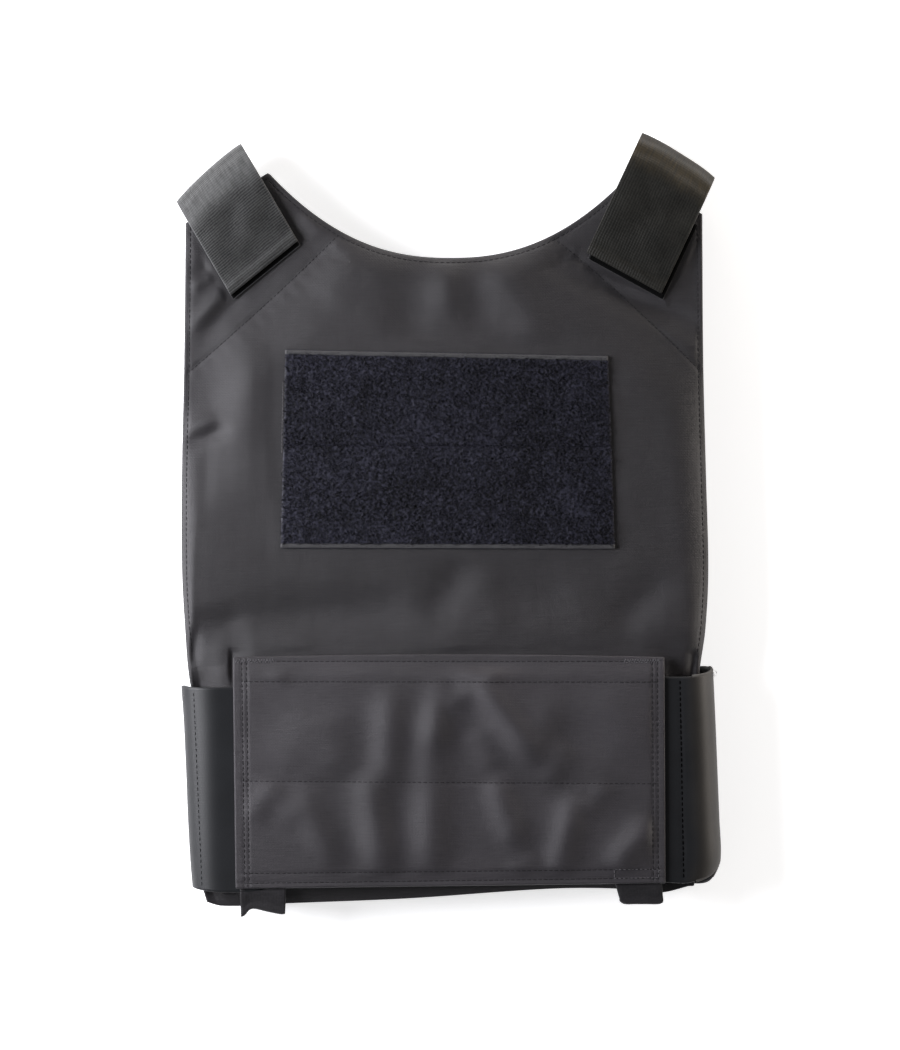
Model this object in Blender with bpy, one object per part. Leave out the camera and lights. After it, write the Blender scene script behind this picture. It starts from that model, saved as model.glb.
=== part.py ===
"""Concealable body armour vest, lying on its back with its front up.

+X is to the right of the vest as seen from above, +Y points to the neck and +Z is up.
Lengths below are in millimetres and are scaled to metres as the meshes are made.
"""
import math
from collections import namedtuple

import bpy
import bmesh
from mathutils import Vector

MM = 0.001
GAP = 0.3

# Thicknesses
BAND_THICKNESS = 2.2
FLAP_THICKNESS = 1.8
WEBBING_THICKNESS = 2.2
PAD_THICKNESS = 1.6
TAPE_THICKNESS = 2.2
TAB_WEBBING_THICKNESS = 1.6
ARMOUR_THICKNESS = 10.0
SHOULDER_THICKNESS = 4.0
HEM_THICKNESS = 3.4
HOLLOW_HEIGHT = 15.0

# Levels
BACK_INNER_Z = 12.5
FRONT_INNER_Z = BACK_INNER_Z + HOLLOW_HEIGHT
CHEST_Z = FRONT_INNER_Z + ARMOUR_THICKNESS
SHOULDER_Z = FRONT_INNER_Z + SHOULDER_THICKNESS

# Panel outline
NECK_LOW = 162.5
NECK_RISE = 52.0
NECK_HALF_WIDTH = 111.0
NECK_POWER = 2.3
LEFT_TAB_CORNER = (-161.0, 184.0)
RIGHT_TAB_CORNER = (153.7, 189.4)
PANEL_SIDES = (
    # y, left x, right x
    (-233.0, -146.0, 141.0),
    (-228.0, -149.5, 146.5),
    (-218.0, -150.6, 149.0),
    (-190.0, -152.0, 150.0),
    (-150.0, -154.0, 150.6),
    (-110.0, -156.2, 151.0),
    (-90.0, -159.4, 152.0),
    (-64.0, -161.4, 155.6),
    (-28.0, -163.3, 157.4),
    (30.0, -163.4, 156.0),
    (100.0, -162.0, 154.3),
    (189.4, -161.0, 153.7),
)
PANEL_BOTTOM = (
    # x, y
    (-152.0, -229.0),
    (-139.0, -232.6),
    (-98.0, -231.0),
    (-25.0, -228.0),
    (60.0, -222.2),
    (100.0, -222.0),
    (128.0, -224.5),
    (146.0, -220.5),
)
# The armour pocket ends along a seam below each shoulder tab
POCKET_SEAMS = (
    # neck end x, neck end y, arm end x, arm end y
    (-67.1, 177.8, -159.5, 93.0),
    (64.4, 174.2, 153.1, 93.6),
)
HEM_ROLL = 24.0
POCKET_ROLL = 17.0

# Panel meshing
TAB_COLUMNS = 7
NECK_COLUMNS = 25
PANEL_ROWS = (
    # part of the height, rows in it
    (0.07, 3),
    (0.27, 7),
    (0.42, 22),
    (0.17, 9),
    (0.07, 4),
)

# Side band
BAND_FRONT_END = 62.0
BAND_SQUARENESS = 3.6
BAND_SEAT_GAP = 0.5
BAND_SIDES = (
    # y, left outer x, right outer x
    (-224.0, -157.6, 162.0),
    (-205.0, -159.2, 166.0),
    (-180.0, -160.6, 165.2),
    (-150.0, -161.8, 164.0),
    (-120.0, -163.2, 162.8),
    (-90.0, -165.4, 161.4),
)
BAND_EDGES = (
    # place round the girth, low edge y, high edge y
    (0.00, -219.4, -97.5),
    (0.08, -219.6, -98.0),
    (0.11, -222.6, -98.5),
    (0.16, -223.6, -99.6),
    (0.26, -221.5, -99.0),
    (0.39, -225.5, -103.0),
    (0.49, -222.5, -97.0),
    (0.60, -221.5, -89.0),
    (0.67, -219.0, -87.5),
    (0.72, -206.5, -89.0),
    (0.78, -213.0, -91.5),
    (0.86, -217.8, -93.0),
    (0.89, -217.6, -93.0),
    (0.92, -216.4, -93.0),
    (1.00, -216.4, -93.0),
)
LEFT_BEND_REACH = 17.0
RIGHT_BEND_REACH = 27.0
BAND_STRIPS = 4
LEG_STEPS = 9
BEND_STEPS = 18
REAR_STEPS = 12

# Front flap, its corners and folds
FLAP_LEFT_X = (-129.9, -131.6)
FLAP_RIGHT_X = (130.5, 129.9)
FLAP_TOP_Y = -79.6
FLAP_TOP_SAG = 1.6
FLAP_BOTTOM_Y = (-221.0, -217.6)
FLAP_COLUMNS = 28
FLAP_ROWS = 14
FLAP_FOLDS = (
    # x, y, length, width, angle, height
    (-42.7, -129.0, 50.0, 10.0, 90.0, 1.8),
    (-14.0, -126.0, 54.0, 10.0, 84.7, 2.0),
    (28.0, -125.0, 54.0, 16.0, -51.6, 1.8),
    (18.3, -138.5, 22.0, 9.0, -64.0, 1.0),
    (61.3, -144.6, 22.0, 9.0, 61.0, 1.0),
    (-79.0, -134.5, 34.0, 17.0, -79.0, 0.9),
    (-51.0, -184.0, 52.0, 12.0, -81.0, 1.8),
    (-17.0, -184.0, 50.0, 10.0, 88.6, 1.8),
    (29.6, -178.0, 37.0, 11.0, -70.6, 1.5),
    (66.0, -188.0, 42.0, 11.0, 76.4, 1.6),
    (87.0, -165.0, 16.0, 9.0, 55.0, 0.9),
    (108.0, -192.5, 31.0, 11.0, 49.0, 1.4),
    (-85.4, -188.0, 46.0, 12.0, -65.0, 0.9),
)

# Front panel folds
PANEL_FOLDS = (
    # x, y, length, width, angle, height
    (-30.5, 137.0, 42.0, 22.0, 80.6, -1.6),
    (10.7, 137.0, 40.0, 18.0, 104.0, -1.2),
    (38.0, 134.0, 52.0, 20.0, -57.2, 1.4),
    (-73.2, 152.0, 26.0, 20.0, 70.0, 0.8),
    (-147.0, 68.0, 76.0, 18.0, 90.0, 1.0),
    (-148.0, 54.5, 22.0, 12.0, 21.8, -1.4),
    (-80.0, -55.0, 118.0, 22.0, 2.0, -1.6),
    (-5.0, -38.0, 34.0, 18.0, 60.0, -1.3),
    (49.0, -43.0, 42.0, 20.0, 0.0, -1.0),
    (113.0, -44.5, 34.0, 16.0, 41.0, -1.5),
    (-144.6, -66.0, 28.0, 12.0, 0.0, -2.0),
    (-146.0, -81.0, 18.0, 12.0, 90.0, 1.8),
    (-148.0, 133.5, 28.0, 13.0, 47.0, 1.0),
    (-152.0, 149.5, 16.0, 12.0, 31.0, 0.7),
    (118.0, 135.0, 64.0, 17.0, -18.0, -0.9),
)

# Loop pile patch: two strips, one above the other
PATCH_TOP = ((-100.3, 106.4), (96.1, 102.5))
PATCH_MIDDLE = ((-101.6, 48.6), (98.2, 47.4))
PATCH_BOTTOM = ((-103.1, -14.3), (100.4, -14.9))
PATCH_MARGIN = 9.0

# Shoulder straps
STRAP_WIDTH = 50.0
STRAP_REAR_LENGTH = 66.0
PAD_LENGTH = 47.0
PAD_OVERHANG = 3.2
STRAP_FOLD_STEPS = 14
Strap = namedtuple("Strap", "side end_x end_y lean reach straight pad_shift")
STRAPS = (
    Strap("left", -113.4, 156.6, 30.3, 68.9, 51.0, 0.0),
    Strap("right", 107.0, 155.3, -25.0, 79.4, 62.5, 2.4),
)

# Pull tabs, folded from one strip of webbing
TAB_SLIT = 0.6
TAB_DROP = 2.0
TAB_FOLD_STEPS = 4
PullTab = namedtuple("PullTab", "side top_left top_right low_left low_right end_column")
PULL_TABS = (
    PullTab("left", -127.8, -100.0, -127.2, -100.6, 1),
    PullTab("right", 100.6, 128.7, 103.4, 129.8, 2),
)
TAB_MEAN_REACH = 14.0
TAB_ENDS = (
    # place across, left tab's end y, right tab's end y
    (0.00, -239.3, -229.8),
    (0.08, -238.4, -231.2),
    (0.20, -234.8, -231.6),
    (0.32, -234.4, -231.5),
    (0.62, -236.2, -231.5),
    (0.92, -237.7, -231.4),
    (1.00, -237.4, -230.4),
)

# Colours, roughness
CLOTH_COLOUR = (0.047, 0.045, 0.050)
BAND_COLOUR = (0.030, 0.031, 0.036)
WEBBING_COLOUR = (0.035, 0.035, 0.035)
PILE_COLOUR = (0.015, 0.015, 0.022)


def clear_scene():
    for item in list(bpy.data.objects):
        bpy.data.objects.remove(item)


def material(name, colour, roughness):
    """Plain soft finish of one colour."""
    made = bpy.data.materials.new(name)
    made.use_nodes = True
    shader = made.node_tree.nodes["Principled BSDF"]
    shader.inputs["Base Color"].default_value = (*colour, 1.0)
    shader.inputs["Roughness"].default_value = roughness
    shader.inputs["Metallic"].default_value = 0.0
    return made


def cover_cloth():
    return material("cover_cloth", CLOTH_COLOUR, 0.80)


def band_elastic():
    return material("band_elastic", BAND_COLOUR, 0.70)


def strap_webbing():
    return material("strap_webbing", WEBBING_COLOUR, 0.65)


def loop_pile():
    return material("loop_pile", PILE_COLOUR, 0.95)


def mix(start, end, part):
    return start + (end - start) * part


def ease(part):
    """Smooth step from 0 to 1."""
    part = min(max(part, 0.0), 1.0)
    return part * part * (3.0 - 2.0 * part)


def read_rows(rows, key, column):
    """Value of one column at a key, on a smooth curve through the rows."""
    if key <= rows[0][0]:
        return rows[0][column]
    if key >= rows[-1][0]:
        return rows[-1][column]
    place = max(i for i in range(len(rows) - 1) if rows[i][0] <= key)
    low = rows[place]
    high = rows[place + 1]
    before = rows[max(place - 1, 0)]
    after = rows[min(place + 2, len(rows) - 1)]
    span = high[0] - low[0]
    part = (key - low[0]) / span
    start_slope = (high[column] - before[column]) / (high[0] - before[0])
    end_slope = (after[column] - low[column]) / (after[0] - low[0])
    square = part * part
    cube = square * part
    return (
        (2.0 * cube - 3.0 * square + 1.0) * low[column]
        + (cube - 2.0 * square + part) * span * start_slope
        + (3.0 * square - 2.0 * cube) * high[column]
        + (cube - square) * span * end_slope
    )


def neck_y(x):
    """Upper edge of a panel: left tab, neck scoop, right tab."""
    inner_y = NECK_LOW + NECK_RISE
    if x < -NECK_HALF_WIDTH:
        part = (x + NECK_HALF_WIDTH) / (LEFT_TAB_CORNER[0] + NECK_HALF_WIDTH)
        return mix(inner_y, LEFT_TAB_CORNER[1], part)
    if x > NECK_HALF_WIDTH:
        part = (x - NECK_HALF_WIDTH) / (RIGHT_TAB_CORNER[0] - NECK_HALF_WIDTH)
        return mix(inner_y, RIGHT_TAB_CORNER[1], part)
    return NECK_LOW + NECK_RISE * (abs(x) / NECK_HALF_WIDTH) ** NECK_POWER


def left_x(y):
    return read_rows(PANEL_SIDES, y, 1)


def right_x(y):
    return read_rows(PANEL_SIDES, y, 2)


def bottom_y(x):
    return read_rows(PANEL_BOTTOM, x, 1)


def column_parts():
    """Places across a panel from 0 to 1, denser at the sides, with a column at each tab's corner."""
    width = RIGHT_TAB_CORNER[0] - LEFT_TAB_CORNER[0]
    left = (-NECK_HALF_WIDTH - LEFT_TAB_CORNER[0]) / width
    right = (NECK_HALF_WIDTH - LEFT_TAB_CORNER[0]) / width
    parts = [left * (i / TAB_COLUMNS) ** 1.35 for i in range(TAB_COLUMNS)]
    parts += [mix(left, right, i / NECK_COLUMNS) for i in range(NECK_COLUMNS)]
    parts += [1.0 - (1.0 - right) * (1.0 - i / TAB_COLUMNS) ** 1.35 for i in range(TAB_COLUMNS + 1)]
    return parts


def row_parts():
    parts = [0.0]
    for share, rows in PANEL_ROWS:
        start = parts[-1]
        parts += [start + share * (i + 1) / rows for i in range(rows)]
    return parts


def panel_point(across, along):
    """Plan position of a panel's grid point."""
    x = mix(left_x(0.0), right_x(0.0), across)
    y = 0.0
    for _ in range(6):
        y = mix(bottom_y(x), neck_y(x), along)
        x = mix(left_x(y), right_x(y), across)
    return x, y


def seam_distance(x, y, seam):
    """Distance from a pocket seam, positive on the armour's side."""
    neck = Vector((seam[0], seam[1]))
    arm = Vector((seam[2], seam[3]))
    run = (arm - neck).normalized()
    offset = Vector((x, y)) - neck
    side = run.x * offset.y - run.y * offset.x
    return side if seam[0] < 0.0 else -side


def pocket_distance(x, y):
    return min(seam_distance(x, y, seam) for seam in POCKET_SEAMS)


def hem_distance(x, y):
    """Distance from the panel's outline."""
    side = min(x - left_x(y), right_x(y) - x)
    slope = (neck_y(x + 1.0) - neck_y(x - 1.0)) / 2.0
    top = (neck_y(x) - y) / math.sqrt(1.0 + slope * slope)
    return max(min(side, top, y - bottom_y(x)), 0.0)


def pad_thickness(x, y):
    """Full in the pocket, thin in the tabs, thinnest at the hem."""
    in_pocket = ease(pocket_distance(x, y) / POCKET_ROLL)
    full = mix(SHOULDER_THICKNESS, ARMOUR_THICKNESS, in_pocket)
    roll = mix(6.0, HEM_ROLL, in_pocket)
    return mix(HEM_THICKNESS, full, ease(hem_distance(x, y) / roll))


def fold_height(x, y, folds):
    """Sum of the folds in a table at one place."""
    total = 0.0
    for fold_x, fold_y, length, width, angle, height in folds:
        turn = math.radians(angle)
        along = (x - fold_x) * math.cos(turn) + (y - fold_y) * math.sin(turn)
        across = (y - fold_y) * math.cos(turn) - (x - fold_x) * math.sin(turn)
        spread = (2.0 * along / length) ** 4 + (1.6 * across / width) ** 2
        total += height * math.exp(-spread)
    return total


def patch_mask(x, y):
    """0 under the loop pile patch, 1 clear of it."""
    left = min(PATCH_BOTTOM[0][0], PATCH_TOP[0][0])
    right = max(PATCH_BOTTOM[1][0], PATCH_TOP[1][0])
    outside = max(left - x, x - right, PATCH_BOTTOM[1][1] - y, y - PATCH_TOP[0][1])
    return ease((outside - 2.0) / PATCH_MARGIN)


def strap_mask(x, y):
    """0 under a strap and its pad, 1 clear of them."""
    mask = 1.0
    for strap in STRAPS:
        turn = math.radians(strap.lean)
        from_x = x - strap.end_x
        from_y = y - strap.end_y
        along = from_y * math.cos(turn) - from_x * math.sin(turn)
        across = from_x * math.cos(turn) + from_y * math.sin(turn)
        outside = max(-PAD_OVERHANG - along, abs(across) - STRAP_WIDTH / 2.0 - strap.pad_shift)
        mask *= ease((outside - 2.0) / 6.0)
    return mask


def flap_mask(y):
    """0 under the flap and the band, 1 above them."""
    return ease((y - FLAP_TOP_Y - 1.0) / 5.0)


def panel_relief(x, y):
    flat = patch_mask(x, y) * strap_mask(x, y) * flap_mask(y)
    at_hem = ease(hem_distance(x, y) / 5.0)
    return fold_height(x, y, PANEL_FOLDS) * flat * at_hem


def add_object(name, mesh_data, finish):
    """Turn a bmesh in millimetres into a named object in metres."""
    bmesh.ops.recalc_face_normals(mesh_data, faces=mesh_data.faces)
    bmesh.ops.scale(mesh_data, vec=(MM, MM, MM), verts=mesh_data.verts)
    mesh = bpy.data.meshes.new(name)
    mesh_data.to_mesh(mesh)
    mesh_data.free()
    mesh.materials.append(finish)
    item = bpy.data.objects.new(name, mesh)
    bpy.context.collection.objects.link(item)
    mesh.shade_smooth()
    mesh.set_sharp_from_angle(angle=math.radians(40.0))
    return item


def grid_faces(mesh_data, grid):
    """Quads over a grid of vertices."""
    for row, next_row in zip(grid, grid[1:]):
        for i in range(len(row) - 1):
            mesh_data.faces.new((row[i], row[i + 1], next_row[i + 1], next_row[i]))


def grid_rim(grid):
    """Boundary of a grid, once round."""
    rim = list(grid[0])
    rim += [row[-1] for row in grid[1:]]
    rim += list(reversed(grid[-1]))[1:]
    rim += [row[0] for row in reversed(grid)][1:-1]
    return rim


def vertex_grid(mesh_data, points):
    return [[mesh_data.verts.new(point) for point in row] for row in points]


def close_rims(mesh_data, first, second):
    """Wall between two rims with as many vertices."""
    count = len(first)
    for i in range(count):
        j = (i + 1) % count
        mesh_data.faces.new((first[i], first[j], second[j], second[i]))


def slab(name, outer_points, inner_points, finish):
    """Closed sheet between two grids of points."""
    made = bmesh.new()
    outer = vertex_grid(made, outer_points)
    inner = vertex_grid(made, inner_points)
    grid_faces(made, outer)
    grid_faces(made, inner)
    close_rims(made, grid_rim(outer), grid_rim(inner))
    return add_object(name, made, finish)


def flat_backed(name, outer_points, back_z, finish):
    """Closed pad with one shaped side and one flat side."""
    made = bmesh.new()
    outer = vertex_grid(made, outer_points)
    grid_faces(made, outer)
    rim = grid_rim(outer)
    back = [made.verts.new((vertex.co.x, vertex.co.y, back_z)) for vertex in rim]
    close_rims(made, rim, back)
    made.faces.new(back)
    return add_object(name, made, finish)


def plan_grid(across_parts, along_parts):
    return [[panel_point(across, along) for along in along_parts] for across in across_parts]


def front_top_z(x, y):
    return FRONT_INNER_Z + pad_thickness(x, y) + panel_relief(x, y)


def make_front_panel():
    """Padded front panel, flat on the body side and shaped on the outside."""
    plan = plan_grid(column_parts(), row_parts())
    outer = [[(x, y, front_top_z(x, y)) for x, y in column] for column in plan]
    return flat_backed("front_panel", outer, FRONT_INNER_Z, cover_cloth())


def back_bottom_z(x, y):
    """Outer side of the back panel: flattened on the floor, hollowed over the band and the straps."""
    hem = ease(hem_distance(x, y) / HEM_ROLL)
    rolled = mix(BACK_INNER_Z - HEM_THICKNESS, 0.0, hem)
    over_band = (BAND_THICKNESS + GAP) * (1.0 - ease((y + 66.0) / 26.0))
    in_pocket = ease((pocket_distance(x, y) - 4.0) / POCKET_ROLL)
    tab = mix(BACK_INNER_Z - SHOULDER_THICKNESS, 0.0, in_pocket)
    return max(rolled, over_band, tab)


def make_back_panel():
    """Padded back panel of the same outline, its outside down."""
    across = column_parts()[::2]
    along = row_parts()[::2]
    along[-1] = 1.0
    plan = plan_grid(across, along)
    outer = [[(x, y, back_bottom_z(x, y)) for x, y in column] for column in plan]
    return flat_backed("back_panel", outer, BACK_INNER_Z, cover_cloth())


def band_path(y):
    """Middle line of the band round the girth at one height of the body: points (x, z)."""
    half = BAND_THICKNESS / 2.0
    left_bend_x = read_rows(BAND_SIDES, y, 1) + half + LEFT_BEND_REACH
    right_bend_x = read_rows(BAND_SIDES, y, 2) - half - RIGHT_BEND_REACH
    left = front_leg(left_bend_x, y, -1.0)
    left += band_bend(left[-1], LEFT_BEND_REACH, -1.0)
    right = front_leg(right_bend_x, y, 1.0)
    right += band_bend(right[-1], RIGHT_BEND_REACH, 1.0)
    return left + rear_leg(left_bend_x, right_bend_x) + list(reversed(right))


def front_leg(bend_x, y, side):
    """Run of the band over the front panel, from its end to the start of the bend."""
    leg = []
    for i in range(LEG_STEPS + 1):
        x = mix(bend_x, side * BAND_FRONT_END, (1.0 - i / LEG_STEPS) ** 1.6)
        from_side = min(x - left_x(y), right_x(y) - x)
        pad = mix(HEM_THICKNESS, ARMOUR_THICKNESS, ease(from_side / HEM_ROLL))
        leg.append((x, FRONT_INNER_Z + pad + BAND_SEAT_GAP + BAND_THICKNESS / 2.0))
    return leg


def band_bend(start, reach, side):
    """Squared half turn from the end of a front leg down to the floor."""
    start_x, high_z = start
    low_z = BAND_THICKNESS / 2.0
    centre_z = (low_z + high_z) / 2.0
    rise = (high_z - low_z) / 2.0
    power = 2.0 / BAND_SQUARENESS
    bend = []
    for i in range(1, BEND_STEPS):
        turn = math.pi * (0.5 - i / BEND_STEPS)
        x = start_x + side * reach * abs(math.cos(turn)) ** power
        z = centre_z + rise * math.copysign(abs(math.sin(turn)) ** power, math.sin(turn))
        bend.append((x, z))
    return bend


def rear_leg(start_x, end_x):
    """Run of the band across the back, on the floor."""
    z = BAND_THICKNESS / 2.0
    return [(mix(start_x, end_x, i / REAR_STEPS), z) for i in range(REAR_STEPS + 1)]


def side_normals(path):
    """Unit normals in the plane of a path of (x, z) points."""
    normals = []
    for i in range(len(path)):
        before = path[max(i - 1, 0)]
        after = path[min(i + 1, len(path) - 1)]
        run = Vector((after[0] - before[0], after[1] - before[1])).normalized()
        normals.append((run.y, -run.x))
    return normals


def band_point(place, index, strip):
    """One point of the band and its normal, index along the girth and strip across the band."""
    low = read_rows(BAND_EDGES, place, 1)
    high = read_rows(BAND_EDGES, place, 2)
    y = mix(low, high, strip / BAND_STRIPS)
    path = band_path(y)
    x, z = path[index]
    return (x, y, z), side_normals(path)[index]


def make_side_band():
    """Elastic band round the girth, its two ends under the flap."""
    half = BAND_THICKNESS / 2.0
    last = 2 * (LEG_STEPS + BEND_STEPS) + REAR_STEPS
    outer = []
    inner = []
    for index in range(last + 1):
        outer_row = []
        inner_row = []
        for strip in range(BAND_STRIPS + 1):
            (x, y, z), normal = band_point(index / last, index, strip)
            outer_row.append((x + normal[0] * half, y, z + normal[1] * half))
            inner_row.append((x - normal[0] * half, y, z - normal[1] * half))
        outer.append(outer_row)
        inner.append(inner_row)
    return slab("side_band", outer, inner, band_elastic())


def flap_point(across, along):
    """Plan position of a flap point, along runs from the bottom edge to the top."""
    left = mix(FLAP_LEFT_X[0], FLAP_LEFT_X[1], along)
    right = mix(FLAP_RIGHT_X[0], FLAP_RIGHT_X[1], along)
    x = mix(left, right, across)
    low = mix(FLAP_BOTTOM_Y[0], FLAP_BOTTOM_Y[1], across)
    high = FLAP_TOP_Y - FLAP_TOP_SAG * (2.0 * across - 1.0) ** 2
    return x, mix(low, high, along)


def flap_seat_z(x, y):
    """Underside of the flap: on the band, and on the panel at its sewn top edge."""
    panel = CHEST_Z + GAP
    band = CHEST_Z + BAND_SEAT_GAP + BAND_THICKNESS + GAP
    return mix(band, panel, ease((y + 90.0) / 9.0))


def make_front_flap():
    """Flap sewn along its top edge, lying over the band's ends."""
    upper = []
    lower = []
    for i in range(FLAP_COLUMNS + 1):
        upper_row = []
        lower_row = []
        for j in range(FLAP_ROWS + 1):
            across = i / FLAP_COLUMNS
            along = j / FLAP_ROWS
            x, y = flap_point(across, along)
            inside = min(across, 1.0 - across, along * 0.6, (1.0 - along) * 0.6)
            lift = max(fold_height(x, y, FLAP_FOLDS), 0.0) * ease(inside / 0.05)
            z = flap_seat_z(x, y) + lift
            lower_row.append((x, y, z))
            upper_row.append((x, y, z + FLAP_THICKNESS))
        upper.append(upper_row)
        lower.append(lower_row)
    return slab("front_flap", upper, lower, cover_cloth())


def make_loop_tape(name, low_edge, high_edge):
    """One strip of loop pile, lying flat on the chest."""
    columns = 6
    edges = (low_edge, high_edge)
    upper = []
    lower = []
    for i in range(columns + 1):
        row = [
            (mix(edge[0][0], edge[1][0], i / columns), mix(edge[0][1], edge[1][1], i / columns))
            for edge in edges
        ]
        base = CHEST_Z + GAP
        lower.append([(x, y, base) for x, y in row])
        upper.append([(x, y, base + TAPE_THICKNESS) for x, y in row])
    return slab(name, upper, lower, loop_pile())


def lowered(edge, amount):
    return tuple((x, y - amount) for x, y in edge)


def make_loop_tapes():
    make_loop_tape("loop_tape_upper", PATCH_MIDDLE, PATCH_TOP)
    make_loop_tape("loop_tape_lower", PATCH_BOTTOM, lowered(PATCH_MIDDLE, GAP))


def strap_path(reach, straight):
    """Middle line of a strap as (run, z): front leg, fold over the shoulder, rear leg."""
    half = WEBBING_THICKNESS / 2.0
    high_z = SHOULDER_Z + GAP + PAD_THICKNESS + GAP + half
    low_z = half
    centre_z = (high_z + low_z) / 2.0
    rise = (high_z - low_z) / 2.0
    bulge = reach - half - straight
    front_steps = 6
    path = [(straight * i / front_steps, high_z) for i in range(front_steps + 1)]
    for i in range(1, STRAP_FOLD_STEPS):
        turn = math.pi * (0.5 - i / STRAP_FOLD_STEPS)
        path.append((straight + bulge * math.cos(turn), centre_z + rise * math.sin(turn)))
    rear_steps = 4
    for i in range(rear_steps + 1):
        path.append((straight - STRAP_REAR_LENGTH * i / rear_steps, low_z))
    return path


def place_on_shoulder(run, across, z, strap):
    """World position of a point given along and across a strap."""
    turn = math.radians(strap.lean)
    x = strap.end_x - run * math.sin(turn) + across * math.cos(turn)
    y = strap.end_y + run * math.cos(turn) + across * math.sin(turn)
    return x, y, z


def make_strap(strap):
    """Webbing from the front tab, over the shoulder, to under the back tab."""
    half = WEBBING_THICKNESS / 2.0
    path = strap_path(strap.reach, strap.straight)
    normals = side_normals(path)
    outer = []
    inner = []
    for (run, z), normal in zip(path, normals):
        outer_row = []
        inner_row = []
        for across in (-STRAP_WIDTH / 2.0, 0.0, STRAP_WIDTH / 2.0):
            offset = (normal[0] * half, normal[1] * half)
            outer_row.append(place_on_shoulder(run + offset[0], across, z + offset[1], strap))
            inner_row.append(place_on_shoulder(run - offset[0], across, z - offset[1], strap))
        outer.append(outer_row)
        inner.append(inner_row)
    return slab("shoulder_strap_" + strap.side, outer, inner, strap_webbing())


def make_strap_pad(strap):
    """Hook pad between a strap's end and the front tab."""
    low_z = SHOULDER_Z + GAP
    rows = [mix(-PAD_OVERHANG, PAD_LENGTH, i / 5) for i in range(6)]
    shift = strap.pad_shift
    sides = (shift - STRAP_WIDTH / 2.0, shift, shift + STRAP_WIDTH / 2.0)
    upper = [
        [place_on_shoulder(run, across, low_z + PAD_THICKNESS, strap) for across in sides]
        for run in rows
    ]
    lower = [[place_on_shoulder(run, across, low_z, strap) for across in sides] for run in rows]
    return slab("strap_pad_" + strap.side, upper, lower, strap_webbing())


def make_shoulders():
    for strap in STRAPS:
        make_strap(strap)
        make_strap_pad(strap)


def tab_path():
    """Middle line of a folded tab: (part of its reach, distance past it, z)."""
    half = TAB_WEBBING_THICKNESS / 2.0
    high_z = CHEST_Z + BAND_SEAT_GAP + BAND_THICKNESS - half
    turn_radius = half + TAB_SLIT / 2.0
    places = (0.0, 0.14, 0.3, 0.47, 0.64, 0.8, 1.0)
    upper = [(part, 0.0, high_z - TAB_DROP * ease((part - 0.12) / 0.7)) for part in places]
    fold = []
    for i in range(1, TAB_FOLD_STEPS):
        turn = math.pi * i / TAB_FOLD_STEPS
        z = high_z - TAB_DROP - turn_radius + turn_radius * math.cos(turn)
        fold.append((1.0, turn_radius * math.sin(turn), z))
    lower = [(part, 0.0, z - 2.0 * turn_radius) for part, _, z in reversed(upper)]
    return upper + fold + lower


def tab_normals(path):
    """Unit normals of a tab's path, worked out at the tabs' mean reach."""
    line = [(part * TAB_MEAN_REACH + past, z) for part, past, z in path]
    return [(-across, -up) for across, up in side_normals(line)]


def flap_low_y(x):
    """Lower edge of the flap."""
    return mix(*FLAP_BOTTOM_Y, (x - FLAP_LEFT_X[0]) / (FLAP_RIGHT_X[0] - FLAP_LEFT_X[0]))


def make_pull_tab(tab):
    """Webbing folded into a tab at a lower corner of the flap."""
    half = TAB_WEBBING_THICKNESS / 2.0
    path = tab_path()
    outer = []
    inner = []
    for (part, past, z), normal in zip(path, tab_normals(path)):
        left = mix(tab.top_left, tab.low_left, part)
        right = mix(tab.top_right, tab.low_right, part)
        outer_row = []
        inner_row = []
        for ends in TAB_ENDS:
            x = mix(left, right, ends[0])
            fold_y = ends[tab.end_column] + TAB_WEBBING_THICKNESS + TAB_SLIT / 2.0
            y = mix(flap_low_y(x) - GAP, fold_y, part) - past
            outer_row.append((x, y - normal[0] * half, z + normal[1] * half))
            inner_row.append((x, y + normal[0] * half, z - normal[1] * half))
        outer.append(outer_row)
        inner.append(inner_row)
    return slab("pull_tab_" + tab.side, outer, inner, strap_webbing())


def make_pull_tabs():
    for tab in PULL_TABS:
        make_pull_tab(tab)


def centre_on_outline():
    """Move everything so that the origin is under the middle of the outline."""
    low = Vector((math.inf, math.inf, math.inf))
    high = Vector((-math.inf, -math.inf, -math.inf))
    for item in bpy.context.collection.objects:
        for vertex in item.data.vertices:
            low = Vector(map(min, low, vertex.co))
            high = Vector(map(max, high, vertex.co))
    shift = Vector(((low.x + high.x) / 2.0, (low.y + high.y) / 2.0, low.z))
    for item in bpy.context.collection.objects:
        for vertex in item.data.vertices:
            vertex.co -= shift


def main():
    clear_scene()
    make_back_panel()
    make_front_panel()
    make_side_band()
    make_front_flap()
    make_loop_tapes()
    make_shoulders()
    make_pull_tabs()
    centre_on_outline()


main()
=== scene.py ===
"""Looks of the body armour vest: cloth, folds, stitching, loop pile, webbing, light and camera.

The vest lies on its back, seen from above, +X to the right and +Y to the neck.
Lengths in the tables are millimetres on the vest, and pieces are made in metres.
"""
import math
from collections import namedtuple

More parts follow.
